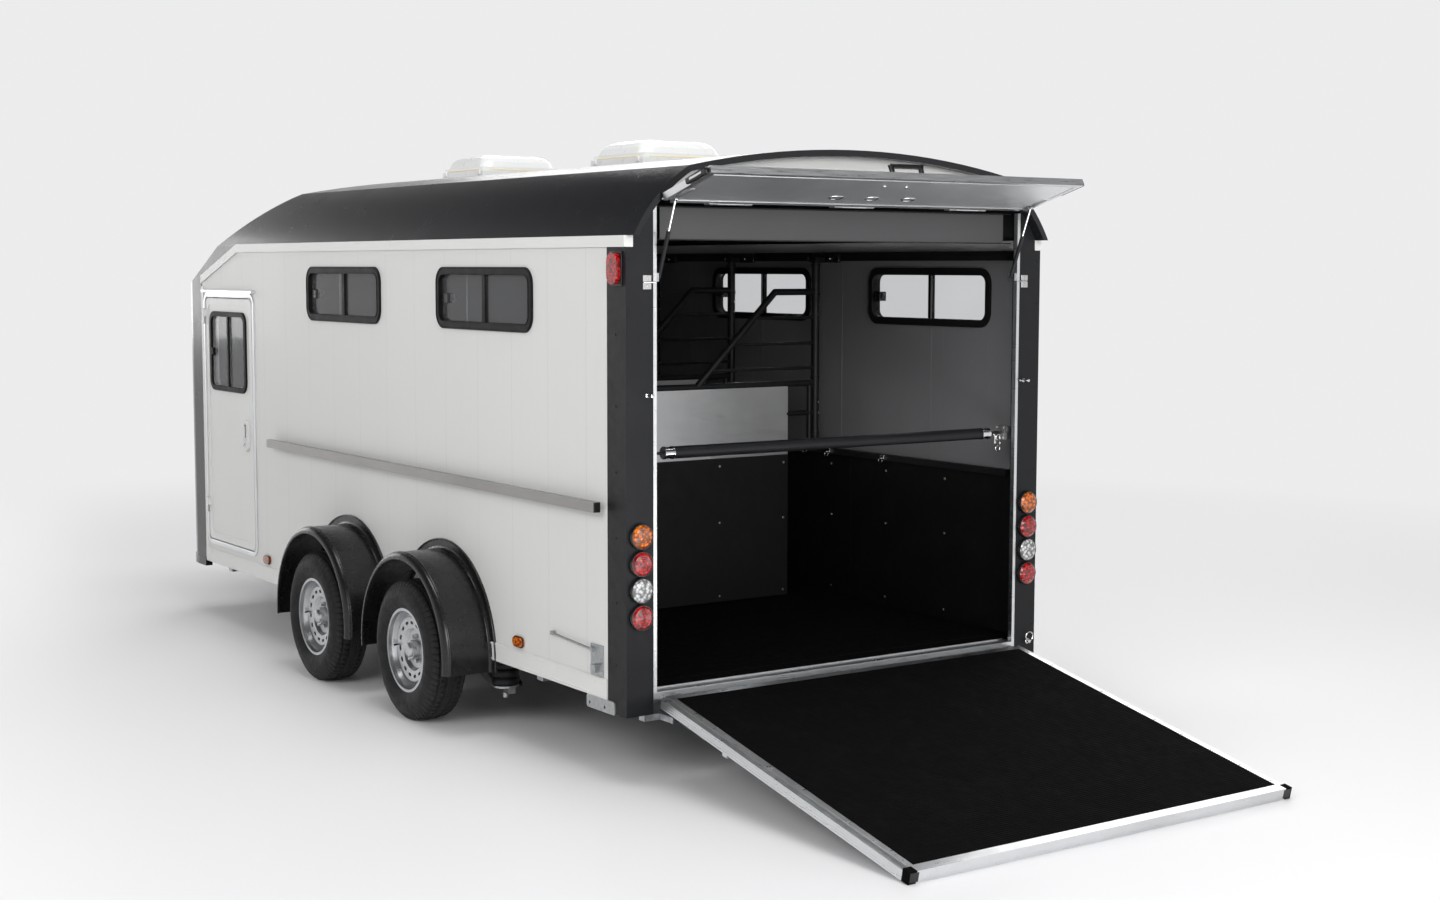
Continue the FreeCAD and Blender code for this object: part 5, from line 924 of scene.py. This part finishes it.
class TRAILER_OT_gates(bpy.types.Operator):
    """Adds the sheets, kick boards, rivets, bolts, latch pins and collars of the three gates"""
    bl_idname = "trailer.gates"
    bl_label = "Gate sheets"

    def execute(self, context):
        for i, x in enumerate(GATE_X, 1):
            body = "gate_%d_body" % i
            sheets, kicks, rivets, dots = [], [], [], []
            for way in (-1.0, 1.0):
                a, b = sorted((x + way * GATE_HALF, x + way * 0.0114))
                sheets.append(block(a, b, *SHEET_Y, 1.068, 1.400))
                a, b = sorted((x + way * GATE_HALF, x + way * 0.0135))
                kicks.append(block(a, b, *SHEET_Y, 0.381, 1.062))
                head = bolt_head(0.0042, 0.0016, (way, 0, 0))
                y = np.linspace(-0.745, 0.375, 9)
                rivets.append(copied(head, spots_at(x + way * 0.0112, y, [1.082, 1.384])))
                head = bolt_head(0.0062, 0.0026, (way, 0, 0))
                y = np.array([-0.736, -0.36, 0.0, 0.366])
                dots.append(copied(head, spots_at(x + way * 0.0133, y, [0.405, 0.760, 1.030])))
            add("gate_%d_sheets" % i, sheets, "brushed", body, bevel=0.0005)
            add("gate_%d_kick_boards" % i, kicks, "kick", body, bevel=0.001)
            add("gate_%d_rivets" % i, rivets, "brushed", body)
            add("gate_%d_kick_bolts" % i, dots, "zinc", body)
            pins = []
            for z in (1.264, 1.317, 1.745, 1.797):
                pins.append(turned([(0, 0), (0.0055, 0), (0.0055, 0.010), (0.004, 0.012), (0, 0.0125)],
                                   (x - 0.0195, GATE_HINGE_Y, z), (-1, 0, 0), 16))
            add("gate_%d_latch_pins" % i, pins, "chrome", body)
            collars = []
            for z in (1.155, 1.430, 1.835, 1.975):
                collars.append(turned([(0.0195, 0), (0.0225, 0.001), (0.0225, 0.017), (0.0195, 0.018)],
                                      (x, GATE_HINGE_Y, z), (0, 0, 1), 28))
            add("gate_%d_collars" % i, collars, "post", body)
        return {"FINISHED"}


class TRAILER_OT_inner_trim(bpy.types.Operator):
    """Adds the lines, clamps, boxes and eyes of the inner rails, the bolts and joints of the kick panels, the
    seams of the lining and the header's skin"""
    bl_idname = "trailer.inner_trim"
    bl_label = "Inner trim"

    def execute(self, context):
        for side_name, side in SIDES:
            rails = ((side * 0.993, (1.062, 1.084)), (side * 0.983, (2.008, 2.023, 2.039)))
            lines = [block(0.137, 3.619, face - side * 0.0022, face + side * 0.0005, z, z + 0.004)
                     for face, heights in rails for z in heights]
            add("inner_rail_lines_" + side_name, lines, "post", bevel=0.0006)
            xs = np.array([0.555, 0.980, 1.402, 1.825, 2.25, 2.67, 3.10, 3.50])
            head = bolt_head(0.0065, 0.003, (0, -side, 0))
            heights = [0.406, 0.760, 1.012]
            spots = np.stack([np.tile(xs, len(heights)), np.full(len(xs) * len(heights), side * 1.0078),
                              np.repeat(heights, len(xs))], -1)
            add("kick_bolts_" + side_name, copied(head, spots), "zinc")
            joints = [block(x, x + 0.006, side * 1.0072, side * 1.0086, 0.362, 1.058) for x in (1.25, 2.45)]
            add("kick_joints_" + side_name, joints, "kick", bevel=0.0005)
            seams = [block(x, x + 0.010, side * 1.0168, side * 1.0184, 1.092, 2.003)
                     for x in (0.670, 1.336, 2.002, 2.668, 3.334)]
            add("lining_seams_" + side_name, seams, "board", bevel=0.0005)
        bits = []
        for x in GATE_X:
            for dx in (-0.075, 0.092):
                bits.append(block(x + dx - 0.024, x + dx + 0.024, -0.984, -0.972, 2.010, 2.024))
                bits.append(turned([(0, 0), (0.006, 0), (0.006, 0.010), (0.0045, 0.0125), (0, 0.013)],
                                   (x + dx, -0.972, 2.017), (0, 1, 0), 16))
        add("top_rail_clamps", bits, "chrome", bevel=0.0008)
        blocks = [block(x - 0.105, x + 0.105, -0.985, -0.9705, 1.997, 2.045) for x in (1.414, 2.128, 2.850)]
        add("top_rail_boxes", blocks, "plastic", bevel=0.003)
        eyes = []
        for x in (0.984, 1.403, 1.583, 2.30, 2.72):
            eyes.append(block(x - 0.016, x + 0.016, -0.9935, -0.984, 1.066, 1.088))
            eyes.append(swept(ring_path((x, -0.977, 1.062), 0.011, (1, 0, 0), 20), 0.0022, 8, True))
        add("tie_eyes", eyes, "chrome", bevel=0.0008)
        add("header_skin", [block(0.0440, 0.0466, -0.872, 0.872, 2.0765, 2.1990)], "header", bevel=0.0006)
        lip = [block(0.0405, 0.046, -0.915, 0.915, z, z + 0.004) for z in (2.075, 2.200)]
        add("header_lines", lip, "post", bevel=0.0006)
        return {"FINISHED"}


class TRAILER_OT_rump_fittings(bpy.types.Operator):
    """Adds the collars, wall plates, bolts, hook and rings of the rump bar"""
    bl_idname = "trailer.rump_fittings"
    bl_label = "Rump bar fittings"

    def execute(self, context):
        x, z = RUMP_X, RUMP_Z
        for side_name, side in SIDES:
            axis = (0, side, 0)
            shape = [(0.0, 0.0), (0.0238, 0.0), (0.0252, 0.001), (0.0252, 0.006), (0.0225, 0.0075),
                     (0.0225, 0.036), (0.0252, 0.0375), (0.0252, 0.0435), (0.0238, 0.0450), (0.0, 0.0450)]
            collar = turned(shape, (x, side * 0.7905, z), axis, 36)
            add("rump_collar_" + side_name, collar, "chrome", "rump_bar_body", 30.0)
            plate = [block(0.052, 0.108, side * 0.9035, side * 0.9049, z - 0.030, z + 0.030)]
            add("rump_plate_" + side_name, plate, "zinc", bevel=0.0008)
            head = bolt_head(0.005, 0.003, (0, -side, 0))
            spots = [(0.060, side * 0.9036, z + h) for h in (-0.022, 0.022)]
            spots += [(0.100, side * 0.9036, z + h) for h in (-0.022, 0.022)]
            add("rump_plate_bolts_" + side_name, copied(head, spots), "zinc")
        corners = [(x, -0.833, z), (x, -0.866, z), (x - 0.004, -0.872, z - 0.016),
                   (x - 0.004, -0.872, z - 0.046)]
        hook = bent(corners, 0.007)
        add("rump_hook", swept(hook, 0.0042, 12), "chrome", "rump_bar_body", 40.0)
        rings = [swept(ring_path((x, -0.893, z - 0.020), 0.012, (1, 0, 0), 22), 0.003, 10, True),
                 swept(ring_path((x, -0.893, z - 0.044), 0.014, (0, 1, 0), 22), 0.0022, 10, True),
                 swept(ring_path((x, -0.893, z - 0.068), 0.012, (1, 0, 0), 22), 0.0022, 10, True)]
        add("rump_eye", rings, "chrome")
        return {"FINISHED"}


class TRAILER_OT_windows(bpy.types.Operator):
    """Adds the edge beads, latches and middle seals of the windows"""
    bl_idname = "trailer.windows"
    bl_label = "Window fittings"

    def execute(self, context):
        w, h = 0.86, 0.265
        outline = rounded_outline(w - 0.010, h - 0.010, 0.065, 8)
        inner = rounded_outline(w - 0.062, h - 0.062, 0.038, 8)
        for x, z, side in ((1.134, 1.84, 1.0), (2.570, 1.84, 1.0), (0.700, 1.84, -1.0), (2.020, 1.84, -1.0)):
            name = "%s_%d" % ("left" if side > 0 else "right", round(x * 10))
            beads = []
            for shape, y in ((outline, 1.0582), (outline, 1.0098), (inner, 1.0582), (inner, 1.0098)):
                beads.append(swept(outline_at(shape, x, side * y, z), 0.0022, 8, True))
            add("window_beads_" + name, beads, "frame")
            latch = [block(x + 0.335, x + 0.385, side * low, side * high, z - 0.024, z + 0.020)
                     for low, high in ((1.0060, 1.0255), (1.0310, 1.0470))]
            latch.append(block(x + 0.318, x + 0.336, side * 1.0085, side * 1.0225, z - 0.012, z + 0.012))
            add("window_latch_" + name, latch, "plastic", bevel=0.003)
            seal = [block(x - 0.004, x + 0.004, side * 1.0262, side * 1.0300, z - 0.1, z + 0.1)]
            add("window_seal_" + name, seal, "mat", bevel=0.001)
        return {"FINISHED"}


# Outside


class TRAILER_OT_door_fittings(bpy.types.Operator):
    """Adds the edge beads, window rim, handle, lock and hinge caps of the groom's door"""
    bl_idname = "trailer.door_fittings"
    bl_label = "Door fittings"

    def execute(self, context):
        cx, cz = 4.0925, 1.1275
        shape = rounded_outline(0.680, 1.340, 0.033, 8)
        add("door_edge_bead", swept(outline_at(shape, cx, 1.0550, cz), 0.0020, 8, True), "rail", "door")
        shape = rounded_outline(0.705, 1.365, 0.045, 8)
        add("door_frame_bead", swept(outline_at(shape, cx, 1.0560, cz), 0.0020, 8, True), "aluminium")
        outer, inner = rounded_outline(0.534, 0.434, 0.062, 8), rounded_outline(0.480, 0.380, 0.035, 8)
        seat = 1.0476
        rim = band(outer, inner, (4.100, 1.510), seat, 1.0614)
        add("door_window_rim", rim, "frame", "door", bevel=0.002)
        bar = [block(4.0895, 4.1105, seat, 1.0572, 1.319, 1.701),
               block(4.312, 4.342, seat, 1.0625, 1.488, 1.526)]
        add("door_window_bar", bar, "frame", "door", bevel=0.0015)
        handle_x = 3.845
        bowl = rounded_outline(0.052, 0.110, 0.025, 8)
        part = mapped(prism(bowl, 1.0678, 1.0692), lambda p: p + (handle_x, 0.0, 1.082))
        add("door_handle_bowl", part, "brushed", "door", bevel=0.0005)
        grip = rounded_outline(0.036, 0.070, 0.012, 6)
        paddle = mapped(prism(grip, 1.0690, 1.0745), lambda p: p + (handle_x, 0.0, 1.095))
        add("door_handle_paddle", paddle, "zinc", "door", bevel=0.002)
        shape = [(0, 0), (0.010, 0), (0.010, 0.004), (0.0085, 0.0055), (0, 0.0055)]
        lock = turned(shape, (handle_x, 1.0688, 1.018), (0, 1, 0), 28)
        add("door_lock", lock, "chrome", "door")
        slot = block(3.8438, 3.8462, 1.0740, 1.0749, 1.013, 1.023)
        add("door_lock_slot", slot, "plastic", "door")
        caps = []
        for z in (0.600, 1.655):
            caps.append(turned([(0, 0), (0.0062, 0), (0.0062, 0.003), (0.0045, 0.005), (0, 0.0055)],
                               (4.442, 1.064, z + 0.0803), (0, 0, 1), 20))
        add("door_hinge_caps", caps, "zinc", "door")
        return {"FINISHED"}


class TRAILER_OT_roof_trim(bpy.types.Operator):
    """Adds the seals and clips of the two roof hatches"""
    bl_idname = "trailer.roof_trim"
    bl_label = "Roof trim"

    def execute(self, context):
        for i, x in enumerate((1.410, 2.925)):
            square = rounded_outline(0.436, 0.436, 0.06, 10)
            path = np.stack([x + square[:, 0], square[:, 1], np.full(len(square), 2.4650)], -1)
            add("hatch_seal_%d" % i, swept(path, 0.0042, 8, True), "seal")
            feet = []
            for sx in (-1, 1):
                for sy in (-1, 1):
                    feet.append(block(x + sx * 0.185 - 0.012, x + sx * 0.185 + 0.012, sy * 0.228 - 0.004,
                                      sy * 0.228 + 0.004, 2.440, 2.462))
            add("hatch_clips_%d" % i, feet, "dome", bevel=0.002)
        return {"FINISHED"}


class TRAILER_OT_body_trim(bpy.types.Operator):
    """Adds the sill beads and rivets, the screws, clips and latch pins of the posts, the mudguard beads, the
    ring pin and the plugs of the tie rail"""
    bl_idname = "trailer.body_trim"
    bl_label = "Body trim"

    def execute(self, context):
        for side_name, side in SIDES:
            lines = [block(0.150, 4.485, side * 1.0558, side * 1.0580, z, z + 0.005) for z in (0.322, 0.386)]
            add("sill_beads_" + side_name, lines, "rail", bevel=0.0008)
            xs = np.linspace(0.22, 4.42, 15)
            head = bolt_head(0.0045, 0.0018, (0, side, 0))
            spots = np.stack([xs, np.full(15, side * 1.0562), np.full(15, 0.374)], -1)
            add("sill_rivets_" + side_name, copied(head, spots), "rail")
            spots = [(0.075, side * 1.0502, z) for z in (0.46, 0.70, 0.95, 1.20, 1.45, 1.72)]
            add("post_screws_" + side_name, copied(bolt_head(0.005, 0.002, (0, side, 0)), spots), "post")
            spots = [(-0.0002, side * 1.035, z) for z in (0.42, 1.10, 1.46, 1.82, 2.00)]
            add("post_rear_screws_" + side_name, copied(bolt_head(0.005, 0.002, (-1, 0, 0)), spots), "post")
            plates, bolts = [], []
            for z in (1.9025, 1.9305):
                plates.append(block(-0.0035, 0.0, side * 0.939, side * 0.976, z - 0.0125, z + 0.0125))
                bolts.append((-0.0034, side * 0.9575, z))
            add("clip_plates_" + side_name, plates, "zinc", bevel=0.0012)
            add("clip_bolts_" + side_name, copied(bolt_head(0.0062, 0.0035, (-1, 0, 0)), bolts), "zinc")
            pin = bent([(-0.004, side * 0.972, CLIP_Z), (-0.010, side * 0.960, CLIP_Z),
                        (-0.010, side * 0.926, CLIP_Z)], 0.004)
            add("clip_pin_" + side_name, swept(pin, 0.0026, 10), "chrome")
            shape = [(0, 0), (0.0085, 0), (0.0085, 0.006), (0.0045, 0.0075), (0.0045, 0.030),
                     (0.0062, 0.032), (0.0062, 0.039), (0, 0.041)]
            latch = turned(shape, (0.0, side * 0.958, LATCH_Z), (-1, 0, 0), 22)
            add("latch_pin_" + side_name, latch, "chrome")
            bar = swept([(-0.012, side * 0.951, LATCH_Z), (-0.012, side * 0.9330, LATCH_Z)], 0.0040, 12)
            add("latch_bar_" + side_name, bar, "chrome")
        low, high = (np.array(v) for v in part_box("tyre_rear_left"))
        axle_z = (low[2] + high[2]) / 2
        for side_name, side in SIDES:
            for place_name, x in WHEEL_X:
                beads = []
                for r, y in ((0.4295, float(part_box("mudguards")[1][1]) - 0.0270), (0.4725, 1.0575)):
                    a = np.linspace(math.radians(-5.0), math.radians(185.0), 60)
                    path = np.stack([x + r * np.cos(a), np.full(len(a), side * y),
                                     axle_z + r * np.sin(a)], -1)
                    beads.append(swept(path, 0.0042, 10))
                add("mudguard_beads_%s_%s" % (place_name, side_name), beads, "plastic")
        ring = ring_path((-0.020, -1.003, 0.372), 0.020, (1, 0, 0), 26)
        add("pull_ring", swept(ring, 0.0028, 10, True), "chrome")
        post = turned([(0, 0), (0.012, 0), (0.012, 0.008), (0.007, 0.010), (0.007, 0.022), (0, 0.023)],
                      (0.0, -1.003, 0.350), (-1, 0, 0), 24)
        add("pull_pin", post, "chrome")
        caps = [block(x, x + 0.004, 1.0758, 1.1042, 1.0428, 1.0812) for x in (0.1448, 3.4392)]
        add("tie_rail_plugs", caps, "plastic", bevel=0.001)
        return {"FINISHED"}


# Stage


def camera_axes():
    """The photograph's camera: right, up and back, from its turn, tilt and roll."""
    turn, tilt, roll = math.radians(-34.5183), math.radians(5.1436), math.radians(0.1207)
    ahead = np.array([math.cos(turn) * math.cos(tilt), math.sin(turn) * math.cos(tilt), -math.sin(tilt)])
    right = np.array([math.sin(turn), -math.cos(turn), 0.0])
    up = np.cross(right, ahead)
    level, upright = right, up
    right = math.cos(roll) * level + math.sin(roll) * upright
    up = -math.sin(roll) * level + math.cos(roll) * upright
    return right, up, -ahead


def facing(side, up, back, spot):
    """The matrix that stands an object at spot with its three axes along side, up and back."""
    return Matrix([[side[i], up[i], back[i], spot[i]] for i in range(3)] + [[0, 0, 0, 1]])


class TRAILER_OT_stage(bpy.types.Operator):
    """Makes the pale floor, the soft light and the camera"""
    bl_idname = "trailer.stage"
    bl_label = "Stage"

    def execute(self, context):
        scene = context.scene
        scene.view_settings.view_transform = "Standard"
        self.floor()
        self.world(scene)
        for name, spot, aim, size, watts in (
                ("key", (-5.5, 9.0, 5.5), (-1.0, 0.8, 0.8), (8.0, 4.0), 470.0),
                ("top", (-2.5, 1.0, 9.0), (-1.5, 0.0, 1.0), (5.0, 3.0), 260.0),
                ("rear", (-11.0, 1.0, 4.2), (-1.0, 0.0, 1.3), (6.0, 3.5), 410.0),
                ("sheen", (6.2, -4.5, 5.6), (-1.5, 0.5, 2.3), (4.0, 2.0), 150.0),
                ("under", (-6.2, 0.3, 0.03), (-6.2, 0.3, 5.0), (3.0, 3.6), 130.0),
                ("right", (2.0, -9.0, 6.0), (0.0, 0.0, 1.0), (7.0, 5.0), 260.0),
                ("front", (11.0, 2.0, 3.2), (0.0, 0.0, 1.0), (6.0, 4.0), 170.0)):
            self.light(scene, name, spot, aim, size, watts)
        self.camera(scene)
        return {"FINISHED"}

    def floor(self):
        r = np.concatenate([[0.0], np.linspace(1.0, 10.0, 10), [20.0, 40.0, 80.0, 160.0]])
        around = 96
        a = full_turn(around)
        ring = np.stack([r[None, 1:] * np.cos(a)[:, None], r[None, 1:] * np.sin(a)[:, None],
                         np.zeros((around, len(r) - 1))], -1)
        points = np.concatenate([[[0.0, 0.0, 0.0]], ring.reshape(-1, 3)])
        n = len(r) - 1
        faces = [[int(v) + 1 for v in f[::-1]] for f in grid_faces(around, n, True, False)]
        faces += [[0, 1 + i * n, 1 + ((i + 1) % around) * n] for i in range(around)]
        mesh = bpy.data.meshes.new("floor")
        mesh.from_pydata(points.tolist(), [], faces)
        mesh.update()
        floor = bpy.data.objects.new("floor", mesh)
        bpy.context.scene.collection.objects.link(floor)
        made = Paint("floor_pale", (0.78, 0.78, 0.79), 0.0, 0.5)
        length = made.node("ShaderNodeVectorMath", operation="LENGTH")
        made.link(made.where, length.inputs[0])
        fade_from, fade_to = 4.6, 10.0
        far = made.ranged(length.outputs["Value"], fade_from, fade_to, 0.0, 1.0, smooth=True)
        seen = self.seen_ray(made)
        glow = made.node("ShaderNodeEmission")
        glow.inputs["Color"].default_value = PALE
        mix = made.node("ShaderNodeMixShader")
        made.link(made.maths("MULTIPLY", far, seen), mix.inputs["Fac"])
        made.link(made.shader.outputs[0], mix.inputs[1])
        made.link(glow.outputs[0], mix.inputs[2])
        made.link(mix.outputs[0], made.tree.nodes["Material Output"].inputs["Surface"])
        mesh.materials.append(made.material)

    @staticmethod
    def seen_ray(made):
        path = made.node("ShaderNodeLightPath")
        one = made.maths("MAXIMUM", path.outputs["Is Camera Ray"], path.outputs["Is Glossy Ray"])
        return made.maths("MAXIMUM", one, path.outputs["Is Transmission Ray"])

    @staticmethod
    def world(scene):
        world = bpy.data.worlds.new("pale_room")
        world.use_nodes = True
        tree = world.node_tree
        plain = tree.nodes["Background"]
        plain.inputs["Color"].default_value = (1.0, 1.0, 1.0, 1.0)
        plain.inputs["Strength"].default_value = 0.42
        shown = tree.nodes.new("ShaderNodeBackground")
        shown.inputs["Color"].default_value = PALE
        mirrored = tree.nodes.new("ShaderNodeBackground")
        mirrored.inputs["Color"].default_value = PALE
        where = tree.nodes.new("ShaderNodeTexCoord")
        parts = tree.nodes.new("ShaderNodeSeparateXYZ")
        tree.links.new(where.outputs["Generated"], parts.inputs[0])
        fall = tree.nodes.new("ShaderNodeMapRange")
        for socket, value in (("From Min", 0.06), ("From Max", 0.50), ("To Min", 1.0), ("To Max", 0.06)):
            fall.inputs[socket].default_value = value
        tree.links.new(parts.outputs["Z"], fall.inputs["Value"])
        tree.links.new(fall.outputs["Result"], mirrored.inputs["Strength"])
        path = tree.nodes.new("ShaderNodeLightPath")
        most = tree.nodes.new("ShaderNodeMath")
        most.operation = "MAXIMUM"
        tree.links.new(path.outputs["Is Camera Ray"], most.inputs[0])
        tree.links.new(path.outputs["Is Transmission Ray"], most.inputs[1])
        inner = tree.nodes.new("ShaderNodeMixShader")
        tree.links.new(path.outputs["Is Glossy Ray"], inner.inputs["Fac"])
        tree.links.new(plain.outputs[0], inner.inputs[1])
        tree.links.new(mirrored.outputs[0], inner.inputs[2])
        mix = tree.nodes.new("ShaderNodeMixShader")
        tree.links.new(most.outputs[0], mix.inputs["Fac"])
        tree.links.new(inner.outputs[0], mix.inputs[1])
        tree.links.new(shown.outputs[0], mix.inputs[2])
        tree.links.new(mix.outputs[0], tree.nodes["World Output"].inputs["Surface"])
        scene.world = world

    @staticmethod
    def light(scene, name, spot, aim, size, watts):
        lamp = bpy.data.lights.new("soft_" + name, "AREA")
        lamp.shape = "RECTANGLE"
        lamp.size, lamp.size_y = size
        lamp.energy = watts
        holder = bpy.data.objects.new("soft_" + name, lamp)
        holder.visible_camera = False
        holder.visible_glossy = name != "key"
        scene.collection.objects.link(holder)
        back = np.array(spot) - np.array(aim)
        back /= np.linalg.norm(back)
        side = np.cross([0.0, 0.0, 1.0], back)
        side = np.array([1.0, 0.0, 0.0]) if np.linalg.norm(side) < 0.05 else side / np.linalg.norm(side)
        up = np.cross(back, side)
        holder.matrix_world = facing(side, up, back, spot)

    @staticmethod
    def camera(scene):
        lens = bpy.data.cameras.new("view")
        lens.sensor_width = 36.0
        lens.lens = 49.116
        lens.shift_y = -5.33 / PHOTO_WIDTH
        lens.clip_end = 500.0
        holder = bpy.data.objects.new("view", lens)
        scene.collection.objects.link(holder)
        holder.matrix_world = facing(*camera_axes(), place(*CAMERA_AT))
        scene.camera = holder


class TRAILER_PT_pieces(bpy.types.Panel):
    """Lists the pieces in the sidebar"""
    bl_idname = "TRAILER_PT_pieces"
    bl_label = "Trailer pieces"
    bl_space_type = "VIEW_3D"
    bl_region_type = "UI"
    bl_category = "Trailer"

    def draw(self, context):
        for operator in OPERATORS:
            self.layout.operator(operator.bl_idname)


OPERATORS = (
    TRAILER_OT_finishes,
    TRAILER_OT_tyres,
    TRAILER_OT_wheel_fixings,
    TRAILER_OT_lamps,
    TRAILER_OT_ramp_mat,
    TRAILER_OT_ramp_trim,
    TRAILER_OT_flap_trim,
    TRAILER_OT_gates,
    TRAILER_OT_inner_trim,
    TRAILER_OT_rump_fittings,
    TRAILER_OT_windows,
    TRAILER_OT_door_fittings,
    TRAILER_OT_roof_trim,
    TRAILER_OT_body_trim,
    TRAILER_OT_stage,
)


def register():
    for _, group in GROUPS:
        bpy.utils.register_class(group)
    for name, group in GROUPS:
        setattr(bpy.types.Scene, name, bpy.props.PointerProperty(type=group))
    for operator in OPERATORS:
        bpy.utils.register_class(operator)
    bpy.utils.register_class(TRAILER_PT_pieces)


def unregister():
    bpy.utils.unregister_class(TRAILER_PT_pieces)
    for operator in reversed(OPERATORS):
        bpy.utils.unregister_class(operator)
    for name, group in reversed(GROUPS):
        delattr(bpy.types.Scene, name)
        bpy.utils.unregister_class(group)


def main():
    register()
    for operator in OPERATORS:
        group, name = operator.bl_idname.split(".")
        getattr(getattr(bpy.ops, group), name)()


if __name__ == "__main__":
    main()
